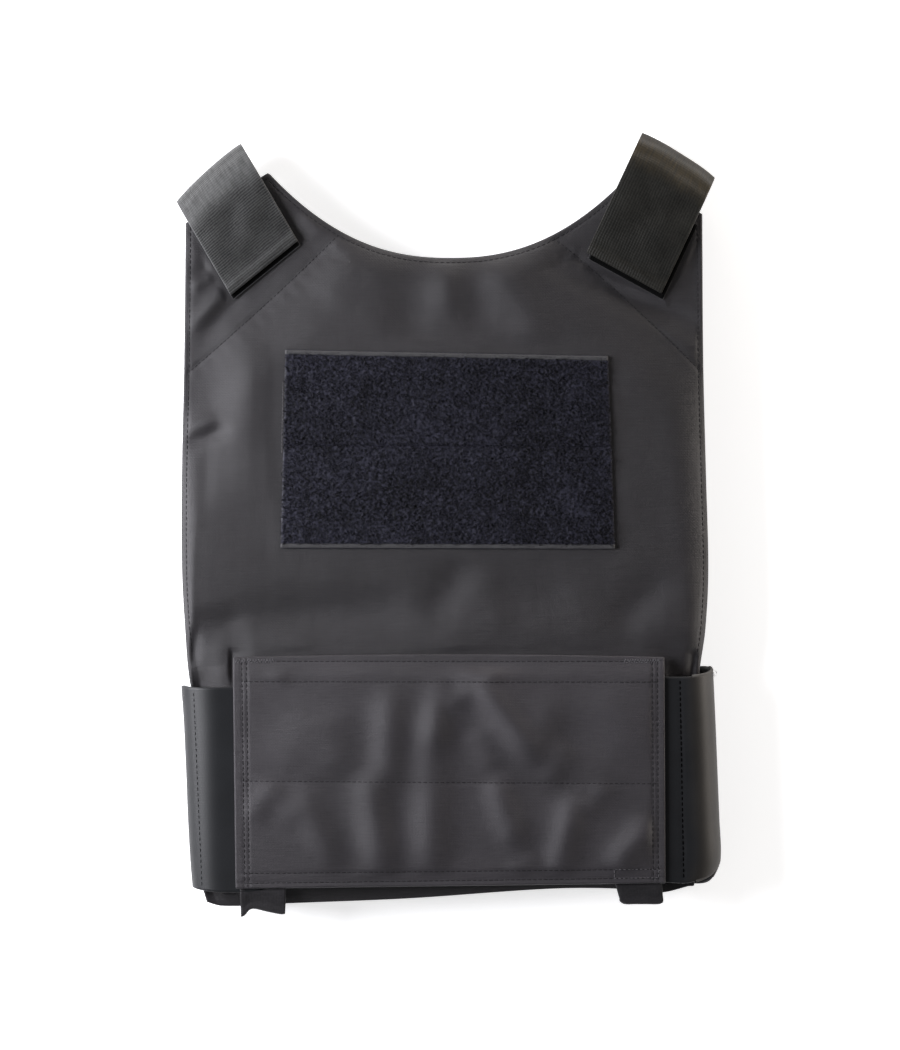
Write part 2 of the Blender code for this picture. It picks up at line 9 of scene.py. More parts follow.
import bpy
import numpy as np
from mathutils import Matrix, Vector


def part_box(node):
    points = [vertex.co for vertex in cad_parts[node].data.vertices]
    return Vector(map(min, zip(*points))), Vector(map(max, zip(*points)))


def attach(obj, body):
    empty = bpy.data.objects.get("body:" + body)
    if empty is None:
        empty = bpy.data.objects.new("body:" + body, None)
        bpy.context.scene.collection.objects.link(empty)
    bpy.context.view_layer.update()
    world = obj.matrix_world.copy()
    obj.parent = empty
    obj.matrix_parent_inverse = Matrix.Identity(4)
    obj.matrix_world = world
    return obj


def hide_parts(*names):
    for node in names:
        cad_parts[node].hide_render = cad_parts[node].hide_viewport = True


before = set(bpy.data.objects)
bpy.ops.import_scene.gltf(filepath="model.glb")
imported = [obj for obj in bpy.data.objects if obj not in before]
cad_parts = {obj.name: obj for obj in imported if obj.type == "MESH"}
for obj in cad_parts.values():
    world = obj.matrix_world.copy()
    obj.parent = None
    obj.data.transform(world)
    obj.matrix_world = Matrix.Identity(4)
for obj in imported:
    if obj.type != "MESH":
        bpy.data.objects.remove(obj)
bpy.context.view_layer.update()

MM = 0.001
# Space between a piece and the one that carries it
GAP = 0.3
ROOT = "root"

# Places read from the frame, in millimetres
FLAP_CORNER = (-131.6, -221.0)
SHIFT_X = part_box("front_flap")[0].x / MM - FLAP_CORNER[0]
SHIFT_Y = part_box("front_flap")[0].y / MM - FLAP_CORNER[1]
BACK_INNER_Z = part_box("back_panel")[1].z / MM
FRONT_INNER_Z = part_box("front_panel")[0].z / MM
CHEST_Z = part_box("loop_tape_upper")[0].z / MM - GAP
SHOULDER_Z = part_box("strap_pad_left")[0].z / MM - GAP
ARMOUR_THICKNESS = CHEST_Z - FRONT_INNER_Z
SHOULDER_THICKNESS = SHOULDER_Z - FRONT_INNER_Z
TAPE_THICKNESS = (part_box("loop_tape_upper")[1].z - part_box("loop_tape_upper")[0].z) / MM
PAD_THICKNESS = (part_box("strap_pad_left")[1].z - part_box("strap_pad_left")[0].z) / MM

# Thicknesses that the frame's boxes don't give
BAND_THICKNESS = 2.2
BAND_SEAT_GAP = 0.5
FLAP_THICKNESS = 1.8
WEBBING_THICKNESS = 2.2
TAB_WEBBING_THICKNESS = 1.6
HEM_THICKNESS = 3.4

# Panel outline
NECK_LOW = 162.5
NECK_RISE = 52.0
NECK_HALF_WIDTH = 111.0
NECK_POWER = 2.3
LEFT_TAB_CORNER = (-161.0, 184.0)
RIGHT_TAB_CORNER = (153.7, 189.4)
PANEL_SIDES = (
    # y, left x, right x
    (-233.0, -146.0, 141.0),
    (-228.0, -149.5, 146.5),
    (-218.0, -150.6, 149.0),
    (-190.0, -152.0, 150.0),
    (-150.0, -154.0, 150.6),
    (-110.0, -156.2, 151.0),
    (-90.0, -159.4, 152.0),
    (-64.0, -161.4, 155.6),
    (-28.0, -163.3, 157.4),
    (30.0, -163.4, 156.0),
    (100.0, -162.0, 154.3),
    (189.4, -161.0, 153.7),
)
PANEL_BOTTOM = (
    # x, y
    (-152.0, -229.0),
    (-139.0, -232.6),
    (-98.0, -231.0),
    (-25.0, -228.0),
    (60.0, -222.2),
    (100.0, -222.0),
    (128.0, -224.5),
    (146.0, -220.5),
)
POCKET_SEAMS = (
    # neck end x, neck end y, arm end x, arm end y, sag
    (-67.1, 177.8, -159.5, 93.0, 1.2),
    (64.4, 174.2, 153.1, 93.6, -1.6),
)
HEM_ROLL = 24.0
TAB_HEM_ROLL = 6.0
TAB_PILLOW_REACH = 8.0
POCKET_ROLL = 17.0
PILLOW_POWER = 2.6
PILLOW_REACHES = (
    # y, reach inwards of the rounding on the left, on the right
    (-96.0, 7.0, 12.0),
    (-55.0, 7.0, 14.0),
    (-20.0, 9.0, 20.0),
    (20.0, 13.0, 24.0),
    (45.0, 17.0, 24.0),
    (70.0, 18.0, 24.0),
    (100.0, 18.0, 22.0),
    (160.0, 20.0, 20.0),
)
LATE_RISES = (
    # y, share of the left side's rise that comes further in, beyond a flat hem
    (-96.0, 0.5),
    (-75.0, 0.5),
    (-60.0, 0.0),
    (0.0, 0.0),
    (30.0, 0.3),
    (62.0, 0.65),
    (85.0, 0.95),
    (106.0, 0.9),
    (125.0, 0.4),
    (160.0, 0.0),
)
# Smooth steps, each as its start and its reach in millimetres
LATE_RISE_FROM_HEM = (13.0, 30.0)
LATE_RISE_FROM_MIDDLE = (40.0, 60.0)
OPENING_FROM_SEAM = (-16.0, 52.0)
OPENING_BY_STRAP = (-6.0, 46.0)
COVER_SHOWN_Y = (-99.0, 12.0)
PINCH_BESIDE_FLAP = (-13.0, 19.0)
PINCH_BELOW_Y = (60.0, 36.0)
BACK_RISE_Y = (-66.0, 26.0)
STRAP_PRESS_REACH = 24.0
# The panel dips this far where it runs under the band
BAND_PINCH = 2.8
HEM_STITCH_INSET = 2.6
# Sewn lines, each as its depth and its width
HEM_GROOVE = (0.20, 1.7)
BACK_HEM_GROOVE = (0.55, 2.0)
POCKET_GROOVE = (0.36, 2.4)
PUCKER_HEIGHT = 0.07
PUCKER_PITCH = 9.0
# Uneven swelling, each as its height, its size and its seed
PANEL_SWELL = (0.22, 58.0, 3)
PANEL_RIPPLE = (0.03, 17.0, 4)
FLAP_SWELL = (0.16, 40.0, 8)
SELVAGE_RIPPLE = (0.10, 7.0, 17)
TAPE_RIPPLE = (0.05, 9.0, 21)
STRAP_BOW = (0.9, 40.0, 12)
STRAP_FADE = (0.25, 30.0, 13)

# Folds: a height of 1 is 1 mm, a negative one is a valley
PANEL_FOLDS = (
    # x, y, length, width, angle, height
    (-23.8, 135.9, 46.0, 23.0, 80.6, -1.6),
    (16.0, 138.3, 42.0, 18.8, 104.0, -1.2),
    (42.0, 136.6, 54.0, 18.8, -57.2, 1.4),
    (-2.3, 146.1, 30.0, 12.5, 92.0, 0.8),
    (-68.8, 149.7, 28.0, 18.8, 62.0, 1.1),
    (85.4, 151.8, 34.0, 12.5, -38.0, 0.8),
    (-130.0, 78.0, 74.0, 28.0, 86.0, 1.2),
    (-137.1, 99.9, 46.0, 16.7, 62.0, 0.8),
    (-148.2, 53.6, 26.0, 8.4, 21.8, -1.9),
    (-151.9, 61.4, 18.0, 8.4, 14.0, 1.1),
    (-150.9, 29.8, 40.0, 10.4, 86.0, -0.9),
    (-80.0, -55.3, 120.0, 24.0, 4.0, -2.7),
    (-112.0, -69.7, 66.0, 16.7, -3.0, 0.8),
    (-0.9, -40.5, 38.0, 18.8, 58.0, -1.4),
    (16.3, -63.3, 44.0, 20.9, 12.0, 0.9),
    (49.0, -43.3, 46.0, 20.9, 3.0, -1.1),
    (115.3, -47.0, 40.0, 16.7, 43.0, -1.4),
    (128.6, -63.6, 36.0, 16.7, 20.0, 0.5),
    (70.0, -66.7, 60.0, 14.6, -4.0, 0.5),
    (-144.0, -60.0, 34.0, 12.0, 4.0, -1.4),
    (-139.5, -86.0, 33.0, 17.0, 103.0, 2.6),
    (-156.5, -74.0, 24.0, 7.0, 82.0, -1.6),
    (-146.8, 132.4, 32.0, 7.3, 49.0, 1.4),
    (-139.6, 126.8, 34.0, 8.4, 49.0, -0.9),
    (-151.4, 148.6, 16.0, 6.3, 33.0, 1.1),
    (-148.1, 158.9, 22.0, 8.4, 60.0, -0.8),
    (-83.3, 183.1, 18.0, 14.6, -52.0, 1.0),
    (118.3, 135.9, 70.0, 9.4, -20.0, -1.4),
    (112.4, 145.9, 40.0, 8.4, -24.0, 0.8),
    (140.6, 113.1, 24.0, 8.4, -30.0, 0.8),
    (148.8, 155.7, 40.0, 9.4, 84.0, -0.8),
    (148.5, -84.8, 15.0, 5.2, 96.0, -2.0),
    (68.4, 182.7, 26.0, 10.4, 62.0, -0.9),
)
FLAP_FOLDS = (
    # x, y, length, width, angle, height
    (-37.0, -129.0, 54.6, 17.0, 88.0, 2.9),
    (-8.2, -117.0, 38.0, 13.0, 84.7, 1.5),
    (-10.2, -136.0, 46.0, 19.0, 84.7, 2.4),
    (33.0, -117.0, 62.0, 14.0, -52.5, 3.7),
    (41.0, -110.5, 60.0, 22.0, -52.5, 1.6),
    (21.4, -137.0, 26.0, 14.0, -64.0, 1.0),
    (64.6, -146.4, 27.0, 13.0, 61.0, 1.3),
    (57.5, -126.2, 42.0, 16.0, 78.0, 1.1),
    (-70.8, -132.9, 37.8, 24.0, -79.0, 1.8),
    (-93.0, -130.0, 42.0, 21.3, 74.0, 1.0),
    (103.9, -118.5, 46.2, 26.7, -66.0, 1.1),
    (5.6, -105.9, 16.8, 10.6, 40.0, 1.1),
    (9.0, -91.6, 12.0, 11.0, 60.0, 0.5),
    (26.0, -90.4, 12.0, 11.0, 80.0, 0.8),
    (-104.5, -90.4, 12.0, 11.0, 70.0, 0.7),
    (-45.0, -183.0, 58.8, 17.4, -81.0, 3.5),
    (-11.0, -184.1, 54.0, 18.0, 89.5, 3.1),
    (34.3, -176.4, 42.0, 14.7, -70.6, 2.8),
    (71.0, -189.2, 48.3, 14.7, 76.4, 2.9),
    (89.5, -166.8, 22.0, 12.0, 55.0, 1.1),
    (111.0, -195.1, 35.7, 14.7, 49.0, 2.9),
    (-80.7, -185.8, 50.4, 16.0, -65.0, 2.1),
    (-114.7, -167.8, 25.2, 12.0, 62.0, 1.1),
    (-101.3, -169.9, 27.3, 12.0, -52.0, 1.0),
    (45.2, -207.1, 18.9, 13.3, 30.0, 1.0),
)

# Side band
BAND_FRONT_END = 62.0
LEFT_BEND_SQUARENESS = 3.1
RIGHT_BEND_SQUARENESS = 2.0
LEFT_BEND_REACH = 34.0
RIGHT_BEND_REACH = 15.0
LEG_STEPS = 44
BEND_STEPS = 60
REAR_STEPS = 56
BAND_STRIPS = 64
BAND_SIDES = (
    # y, left outer x, right outer x
    (-224.0, -157.6, 162.0),
    (-205.0, -159.2, 166.0),
    (-180.0, -160.6, 165.2),
    (-150.0, -161.8, 164.0),
    (-120.0, -163.2, 162.8),
    (-90.0, -165.4, 161.4),
)
BAND_SWELL_X = -147.0
BAND_SWELL = 1.0
BAND_SWELL_WIDTH = 17.0
BAND_EDGES = (
    # place: 0 to 1 on the left leg, 2 bend, 3 rear, 4 bend, 5 right leg; low edge y, high edge y
    (0.00, -219.4, -97.5),
    (0.60, -219.6, -98.0),
    (0.80, -222.6, -98.5),
    (1.10, -223.6, -99.6),
    (1.50, -221.5, -99.0),
    (2.00, -225.5, -103.0),
    (2.50, -222.5, -97.0),
    (3.05, -221.5, -89.0),
    (3.30, -219.0, -87.5),
    (3.50, -206.5, -89.0),
    (3.75, -213.0, -91.5),
    (4.05, -217.8, -93.0),
    (4.25, -217.6, -93.0),
    (4.45, -216.4, -93.0),
    (5.00, -216.4, -93.0),
)
BAND_RIMS = (
    # places where the overlocked edge shows, and the band's column: 0 low edge, -1 high edge
    (3.40, 3.96, -1),
    (3.35, 3.96, 0),
)
BAND_SEAMS = (
    # x at the top edge, x at the bottom edge, top y, bottom y
    (-156.2, -151.0, -101.0, -222.0),
    (139.9, 142.2, -93.5, -217.0),
)
BAND_SEAM_GROOVE = (0.28, 1.4)
BAND_RIM_RADIUS = 1.25

# Front flap
FLAP_LEFT_X = (-129.9, -131.6)
FLAP_RIGHT_X = (130.5, 129.9)
FLAP_TOP_Y = -79.6
FLAP_TOP_SAG = 1.6
FLAP_BOTTOM_Y = (-221.0, -217.6)
FLAP_COLUMNS = 230
FLAP_ROWS = 126
FLAP_SEAMS_Y = (
    # y at left, y at right, groove depth
    (-83.2, -83.2, 0.14),
    (-95.6, -95.8, 0.12),
    (-156.0, -157.6, 0.22),
    (-212.2, -209.6, 0.16),
    (-218.2, -214.9, 0.14),
)
FLAP_SEAMS_X = (
    # x at bottom, x at top, groove depth
    (-124.9, -126.8, 0.20),
    (-122.2, -123.9, 0.24),
    (123.6, 122.9, 0.22),
    (126.6, 126.0, 0.18),
)
FLAP_SEAM_WIDTH = 1.6
# Where the folds end, short of the flap's upper edge
FLAP_FOLDS_TOP_Y = -81.0

# Loop pile patch
PATCH_TOP = ((-100.3, 106.4), (96.1, 102.5))
PATCH_MIDDLE = ((-101.6, 48.6), (98.2, 47.4))
PATCH_BOTTOM = ((-103.1, -14.3), (100.4, -14.9))
PATCH_MARGIN = 9.0
SELVAGE = 2.4
PILE_LOOPS = 7900
# Heights from the top of the loop tape's box in the frame
PILE_ROOT = -0.9
PILE_GROUND = -1.0
SELVAGE_UNDERSIDE = -1.05
TAPE_BASE_TOP = -1.1
PATCH_STITCH = -1.0
EDGE_THREAD = -0.3
PILE_LOOP_RADIUS = 0.13

# Shoulder straps
STRAP_WIDTH = 51.6
STRAP_REAR_LENGTH = 66.0
PAD_LENGTH = 47.0
PAD_OVERHANG = 2.6
Strap = namedtuple("Strap", "side end_x end_y lean reach straight pad_shift end_skew fold_skew")
STRAPS = (
    Strap("left", -113.4, 156.6, 30.3, 69.3, 42.0, 0.0, 4.0, 5.4),
    Strap("right", 106.2, 153.6, -25.0, 80.8, 58.0, 2.4, -1.7, -3.2),
)
STRAP_WAVES = {
    # side: rows of place along the strap, width, height
    "left": (
        (3.5, 5.0, 0.5),
        (11.0, 9.0, -0.3),
        (26.0, 46.0, 1.2),
        (44.0, 8.0, 0.3),
        (54.0, 6.0, -0.3),
        (61.0, 4.0, 0.4),
        (66.0, 4.0, -0.3),
    ),
    "right": (
        (4.0, 6.0, 0.4),
        (36.0, 52.0, 2.0),
        (64.0, 6.0, 0.3),
        (69.0, 5.0, -0.35),
        (73.5, 5.0, 0.5),
        (78.5, 5.0, -0.35),
        (84.0, 4.0, 0.4),
    ),
}
STRAP_CUP = 0.45
STRAP_FOLD_BOW = 1.3
STRAP_HEM_RUNS = (2.2, 7.4)
HOOK_EDGE_RADIUS = 0.32

# Pull tabs
TAB_SLIT = 0.6
TAB_DROP = 2.0
TAB_MEAN_REACH = 14.0
PullTab = namedtuple("PullTab", "side top_left top_right low_left low_right end_column")
PULL_TABS = (
    PullTab("left", -127.8, -100.0, -127.2, -100.6, 1),
    PullTab("right", 100.6, 128.7, 103.4, 129.8, 2),
)
TAB_ENDS = (
    # place across, left tab's end y, right tab's end y
    (0.00, -239.3, -229.8),
    (0.08, -238.4, -231.2),
    (0.20, -234.8, -231.6),
    (0.32, -234.4, -231.5),
    (0.62, -236.2, -231.5),
    (0.92, -237.7, -231.4),
    (1.00, -237.4, -230.4),
)

# Sewing thread
STITCH_PITCH = 3.3
STITCH_LENGTH = 2.5
THREAD_RADIUS = 0.26
THREADS = (
    # name, colour, gloss
    ("overlock", (0.050, 0.048, 0.046), 0.2),
    # Paler cut edge of the hook pads: partly a painted highlight where the rim catches light.
    ("tape_edge_and_rim_highlight", (0.030, 0.030, 0.031), 0.2),
    ("thread_dark", (0.010, 0.0095, 0.0105), 0.2),
    # Black thread, darkened further as painted shade of the stitch holes on the band.
    ("thread_black_and_hole_shade", (0.0010, 0.0010, 0.0010), 0.0),
    ("thread_pale", (0.060, 0.059, 0.062), 0.2),
    ("thread_grey", (0.022, 0.021, 0.023), 0.2),
    ("thread_tack", (0.056, 0.054, 0.058), 0.2),
    ("lint", (0.11, 0.105, 0.10), 0.2),
)
# Bow of a stitch: place along its length, and lift
SEWN_STITCH = ((-0.5, -0.22), (-0.25, 0.08), (0.0, 0.14), (0.25, 0.08), (0.5, -0.22))
BAND_STITCH = ((-0.5, -0.2), (-0.25, 0.16), (0.0, 0.22), (0.25, 0.16), (0.5, -0.2))
FLAP_TACKS = (
    # start, end
    ((-130.5, -83.2), (-107.0, -83.0)),
    ((106.0, -83.0), (127.5, -83.2)),
)
FLAP_BOX_TACK = ((100.0, -209.8), (127.0, -209.6), (127.0, -214.8), (100.0, -215.2), (100.0, -209.8))
PATCH_EDGE_THREAD = ((-102.4, 43.5), (-101.6, 87.0))
LOOSE_THREADS = (
    # x, y, z, count, spread, longest
    (-162.0, -106.5, 31.0, 9, 3.0, 6.0),
    (161.5, -92.0, 27.0, 7, 3.0, 4.0),
    (-140.0, -222.5, 34.0, 5, 3.0, 3.5),
)
HAIR_START = (126.3, 209.5)
HAIR_RUN = (6.1, -10.4, 0.0)
HAIR_BOW = (-4.8, -3.2, 0.0)
LOOSE_THREAD_RADIUS = 0.09

# Camera: the photograph's size and middle in pixels, heights in metres
PHOTO_SIZE = (900.0, 1050.0)
MM_PER_PIXEL = 0.61
PHOTO_CENTRE_Y = 524.5
CAMERA_HEIGHT = 2.6
SCALE_PLANE_Z = 0.034

# Floor, just under the vest, in metres
FLOOR_REACH = 3.0
FLOOR_Z = -0.0005

# Lights: places and sizes in metres, power in watts
Light = namedtuple("Light", "name place target size power colour")
LIGHTS = (
    Light("window_left", (-1.00, 0.12, 0.585), (-0.06, -0.03, 0.0), (0.62, 0.62), 31.5, (0.95, 0.95, 1.0)),
    Light("lamp_right", (1.10, 0.25, 0.15), (0.1, 0.0, 0.0), (0.8, 0.24), 9.0, (1.0, 0.92, 0.84)),
    Light("window_top", (0.15, 1.20, 0.21), (0.0, 0.15, 0.0), (0.9, 0.26), 6.8, (1.0, 0.95, 0.90)),
)
# Fill light, bright all round and dim overhead
HORIZON = (0.55, 0.55, 0.56)
ZENITH = (0.02, 0.02, 0.022)


def mix(start, end, part):
    return start + (end - start) * part


def ease(part):
    """Smooth step from 0 to 1."""
    part = np.clip(part, 0.0, 1.0)
    return part * part * (3.0 - 2.0 * part)


def bell(offset, width):
    """1 at no offset, falling to nearly 0 at the width."""
    return np.exp(-((1.8 * offset / width) ** 2))


def eased(value, start, reach):
    """Smooth step: 0 up to the start, 1 from the reach beyond it."""
    return ease((value - start) / reach)


def smooth_curve(rows, column):
    """Function that follows one column of a table smoothly along its first column."""
    keys = np.array([row[0] for row in rows])
    values = np.array([row[column] for row in rows])
    inner = (values[2:] - values[:-2]) / (keys[2:] - keys[:-2])
    first = (values[1] - values[0]) / (keys[1] - keys[0])
    last = (values[-1] - values[-2]) / (keys[-1] - keys[-2])
    slopes = np.concatenate([[first], inner, [last]])
    part = np.linspace(0.0, 1.0, 24)
    square = part**2
    cube = part**3
    fine_keys = []
    fine_values = []
    for i in range(len(keys) - 1):
        span = keys[i + 1] - keys[i]
        fine_keys.append(keys[i] + span * part)
        fine_values.append(
            (2.0 * cube - 3.0 * square + 1.0) * values[i]
            + (cube - 2.0 * square + part) * span * slopes[i]
            + (3.0 * square - 2.0 * cube) * values[i + 1]
            + (cube - square) * span * slopes[i + 1]
        )
    fine_keys = np.concatenate(fine_keys)
    fine_values = np.concatenate(fine_values)
    return lambda key: np.interp(key, fine_keys, fine_values)


left_x = smooth_curve(PANEL_SIDES, 1)
right_x = smooth_curve(PANEL_SIDES, 2)
bottom_y = smooth_curve(PANEL_BOTTOM, 1)
left_reach = smooth_curve(PILLOW_REACHES, 1)
right_reach = smooth_curve(PILLOW_REACHES, 2)
late_rise = smooth_curve(LATE_RISES, 1)
band_left_x = smooth_curve(BAND_SIDES, 1)
band_right_x = smooth_curve(BAND_SIDES, 2)
band_low_y = smooth_curve(BAND_EDGES, 1)
band_high_y = smooth_curve(BAND_EDGES, 2)


def neck_y(x):
    """Upper edge of a panel: left tab, neck scoop, right tab."""
    inner_y = NECK_LOW + NECK_RISE
    scoop = NECK_LOW + NECK_RISE * (np.abs(x) / NECK_HALF_WIDTH) ** NECK_POWER
    left_part = (x + NECK_HALF_WIDTH) / (LEFT_TAB_CORNER[0] + NECK_HALF_WIDTH)
    right_part = (x - NECK_HALF_WIDTH) / (RIGHT_TAB_CORNER[0] - NECK_HALF_WIDTH)
    left_tab = mix(inner_y, LEFT_TAB_CORNER[1], left_part)
    right_tab = mix(inner_y, RIGHT_TAB_CORNER[1], right_part)
    return np.where(x < -NECK_HALF_WIDTH, left_tab, np.where(x > NECK_HALF_WIDTH, right_tab, scoop))


def seam_run(seam):
    """Length of a pocket seam and its direction."""
    neck_x, neck_seam_y, arm_x, arm_y, _ = seam
    length = math.hypot(arm_x - neck_x, arm_y - neck_seam_y)
    return length, (arm_x - neck_x) / length, (arm_y - neck_seam_y) / length


def seam_place(x, y, seam):
    """Distance from a pocket seam, positive on the armour's side, and the place along it."""
    length, run_x, run_y = seam_run(seam)
    from_x = x - seam[0]
    from_y = y - seam[1]
    along = from_x * run_x + from_y * run_y
    side = run_x * from_y - run_y * from_x
    if seam[0] > 0.0:
        side = -side
    part = np.clip(along / length, 0.0, 1.0)
    return side - seam[-1] * 4.0 * part * (1.0 - part), along


def pocket_distance(x, y):
    return np.minimum(*[seam_place(x, y, seam)[0] for seam in POCKET_SEAMS])


def hem_distance(x, y):
    """Distance from the panel's outline."""
    side = np.minimum(x - left_x(y), right_x(y) - x)
    slope = (neck_y(x + 1.0) - neck_y(x - 1.0)) / 2.0
    top = (neck_y(x) - y) / np.sqrt(1.0 + slope * slope)
    return np.maximum(np.minimum(np.minimum(side, top), y - bottom_y(x)), 0.0)


def pillow(distance, reach):
    """Steep at the edge and levelling out inwards, as a filled cover does."""
    return 1.0 - (1.0 - np.clip(distance / reach, 0.0, 1.0)) ** PILLOW_POWER


def pillow_reach(x, y):
    """How far in from the edge a panel's rounding goes."""
    return mix(left_reach(y), right_reach(y), eased(x, -60.0, 120.0))


def pad_thickness(x, y):
    """Full in the pocket, thin in the tabs, thinnest at the hem, pressed flatter under the band."""
    beyond_seam = pocket_distance(x, y)
    in_pocket = ease(beyond_seam / POCKET_ROLL)
    opening = eased(beyond_seam, *OPENING_FROM_SEAM)
    by_strap = mix(strap_mask(x, y, STRAP_PRESS_REACH), 1.0, eased(beyond_seam, *OPENING_BY_STRAP))
    shown = eased(y, *COVER_SHOWN_Y)
    full = mix(SHOULDER_THICKNESS, ARMOUR_THICKNESS, mix(in_pocket, opening * by_strap, shown))
    hem = hem_distance(x, y)
    pressed = ease(hem / mix(TAB_HEM_ROLL, HEM_ROLL, in_pocket))
    free = pillow(hem, mix(TAB_PILLOW_REACH, pillow_reach(x, y), opening))
    late_share = late_rise(y) * eased(-x, *LATE_RISE_FROM_MIDDLE)
    free = mix(free, eased(hem, *LATE_RISE_FROM_HEM), late_share)
    return mix(HEM_THICKNESS, full, mix(pressed, free, shown))


def fold_height(x, y, folds):
    """Sum of the folds in a table."""
    total = np.zeros_like(x)
    for fold_x, fold_y, length, width, angle, height in folds:
        turn = math.radians(angle)
        along = (x - fold_x) * math.cos(turn) + (y - fold_y) * math.sin(turn)
        across = (y - fold_y) * math.cos(turn) - (x - fold_x) * math.sin(turn)
        spread = (2.0 * along / length) ** 4 + (1.6 * across / width) ** 2
        total += height * np.exp(-spread)
    return total


def ripple(x, y, amount, size, seed):
    """Soft uneven swelling of cloth, from a few crossed waves."""
    rng = np.random.RandomState(seed)
    total = np.zeros_like(x)
    for _ in range(7):
        angle = rng.uniform(0.0, math.pi)
        length = size * rng.uniform(0.6, 1.5)
        phase = rng.uniform(0.0, 2.0 * math.pi)
        along = x * math.cos(angle) + y * math.sin(angle)
        total += np.sin(2.0 * math.pi * along / length + phase)
    return amount * total / 7.0**0.5


def patch_mask(x, y):
    """0 under the loop pile patch, 1 clear of it."""
    left = min(PATCH_BOTTOM[0][0], PATCH_TOP[0][0])
    right = max(PATCH_BOTTOM[1][0], PATCH_TOP[1][0])
    beside = np.maximum(left - x, x - right)
    outside = np.maximum(beside, np.maximum(PATCH_BOTTOM[1][1] - y, y - PATCH_TOP[0][1]))
    return eased(outside, 1.0, PATCH_MARGIN)


def strap_mask(x, y, reach=5.0):
    """0 under a strap and its pad, 1 clear of them by the reach."""
    mask = np.ones_like(x)
    for strap in STRAPS:
        turn = math.radians(strap.lean)
        from_x = x - strap.end_x
        from_y = y - strap.end_y
        along = from_y * math.cos(turn) - from_x * math.sin(turn)
        across = from_x * math.cos(turn) + from_y * math.sin(turn)
        beside = np.abs(across) - STRAP_WIDTH / 2.0 - strap.pad_shift
        mask = mask * eased(np.maximum(-PAD_OVERHANG - along, beside), 1.0, reach)
    return mask


def beside_flap(x):
    """Distance to the side of the flap, negative under it."""
    return np.maximum(FLAP_LEFT_X[1] - x, x - FLAP_RIGHT_X[1])


def shown_mask(x, y):
    """0 under the flap and the band, 1 above the flap and in the corners beside it."""
    above = eased(y, FLAP_TOP_Y + 1.0, 5.0)
    corner = eased(beside_flap(x), 1.0, 3.0) * eased(y, -98.0, 3.0)
    return np.maximum(above, corner)


def groove(away, depth, width):
    """Depth of a sewn line at a distance from it."""
    return depth * bell(away, width)


def front_top_z(x, y):
    """Outer surface of the front panel."""
    hem = hem_distance(x, y)
    free = patch_mask(x, y) * strap_mask(x, y) * shown_mask(x, y)
    relief = fold_height(x, y, PANEL_FOLDS) + ripple(x, y, *PANEL_SWELL) + ripple(x, y, *PANEL_RIPPLE)
    z = FRONT_INNER_Z + pad_thickness(x, y) + relief * free * ease(hem / 5.0)
    z = z - groove(hem - HEM_STITCH_INSET, *HEM_GROOVE)
    pinch = eased(beside_flap(x), *PINCH_BESIDE_FLAP) * eased(-y, *PINCH_BELOW_Y)
    z = z - BAND_PINCH * pinch * ease(hem / 6.0)
    depth, width = POCKET_GROOVE
    for seam in POCKET_SEAMS:
        away, along = seam_place(x, y, seam)
        pull = bell(away, width) + 0.15 * bell(away, 9.0)
        pucker = PUCKER_HEIGHT * np.sin(2.0 * math.pi * along / PUCKER_PITCH) * bell(away - 4.0, 8.0)
        z = z - (depth * pull + pucker) * ease(hem / 3.0)
    return z


def back_bottom_z(x, y):
    """Outer side of the back panel: flattened on the floor, hollowed over the band and the straps."""
    hem = hem_distance(x, y)
    rolled = mix(BACK_INNER_Z - HEM_THICKNESS, 0.0, ease(hem / HEM_ROLL))
    over_band = (BAND_THICKNESS + GAP) * (1.0 - eased(y, *BACK_RISE_Y))
    in_pocket = eased(pocket_distance(x, y), 4.0, POCKET_ROLL)
    tab = mix(BACK_INNER_Z - SHOULDER_THICKNESS, 0.0, in_pocket)
    hollow = groove(hem - HEM_STITCH_INSET, *BACK_HEM_GROOVE)
    return np.maximum(np.maximum(rolled, over_band), tab) + hollow


def graded(count, squeeze):
    """Places from 0 to 1, closer together at both ends."""
    part = np.linspace(0.0, 1.0, count + 1)
    return part - squeeze * np.sin(2.0 * math.pi * part) / (2.0 * math.pi)


def plan_grid(across, along):
    """Plan positions of a panel's grid, as two arrays indexed across and along."""
    across, along = np.meshgrid(across, along, indexing="ij")
    x = mix(left_x(0.0), right_x(0.0), across)
    for _ in range(8):
        y = mix(bottom_y(x), neck_y(x), along)
        x = mix(left_x(y), right_x(y), across)
    return x, y


def grid_quads(columns, rows, start, flip=False):
    """Corner numbers of the quads over a grid of vertices."""
    number = start + np.arange(columns * rows).reshape(columns, rows)
    quads = np.stack([number[:-1, :-1], number[1:, :-1], number[1:, 1:], number[:-1, 1:]], axis=-1)
    quads = quads.reshape(-1, 4)
    return quads[:, ::-1] if flip else quads


def rim_numbers(columns, rows):
    """Grid vertices once round the boundary."""
    number = np.arange(columns * rows).reshape(columns, rows)
    return np.concatenate(
        [number[:, 0], number[-1, 1:], number[-2::-1, -1], number[0, -2:0:-1]]
    )


def ring_quads(first, second):
    """Quads between two rings of vertices."""
    return np.stack([first, second, np.roll(second, -1), np.roll(first, -1)], axis=-1)


def as_points(x, y, z):
    """Coordinates, as arrays or single numbers, as one array of points."""
    return np.stack(np.broadcast_arrays(x, y, z), axis=-1)


def path_lengths(path):
    """Length from the start of a line to each of its points."""
    return np.concatenate([[0.0], np.cumsum(np.linalg.norm(np.diff(path, axis=0), axis=1))])


def path_normals(path):
    """Unit normals of a line of (run, height), on its left."""
    ahead = np.gradient(path, axis=0)
    normal = np.stack([-ahead[:, 1], ahead[:, 0]], axis=-1)
    return normal / np.linalg.norm(normal, axis=1, keepdims=True)


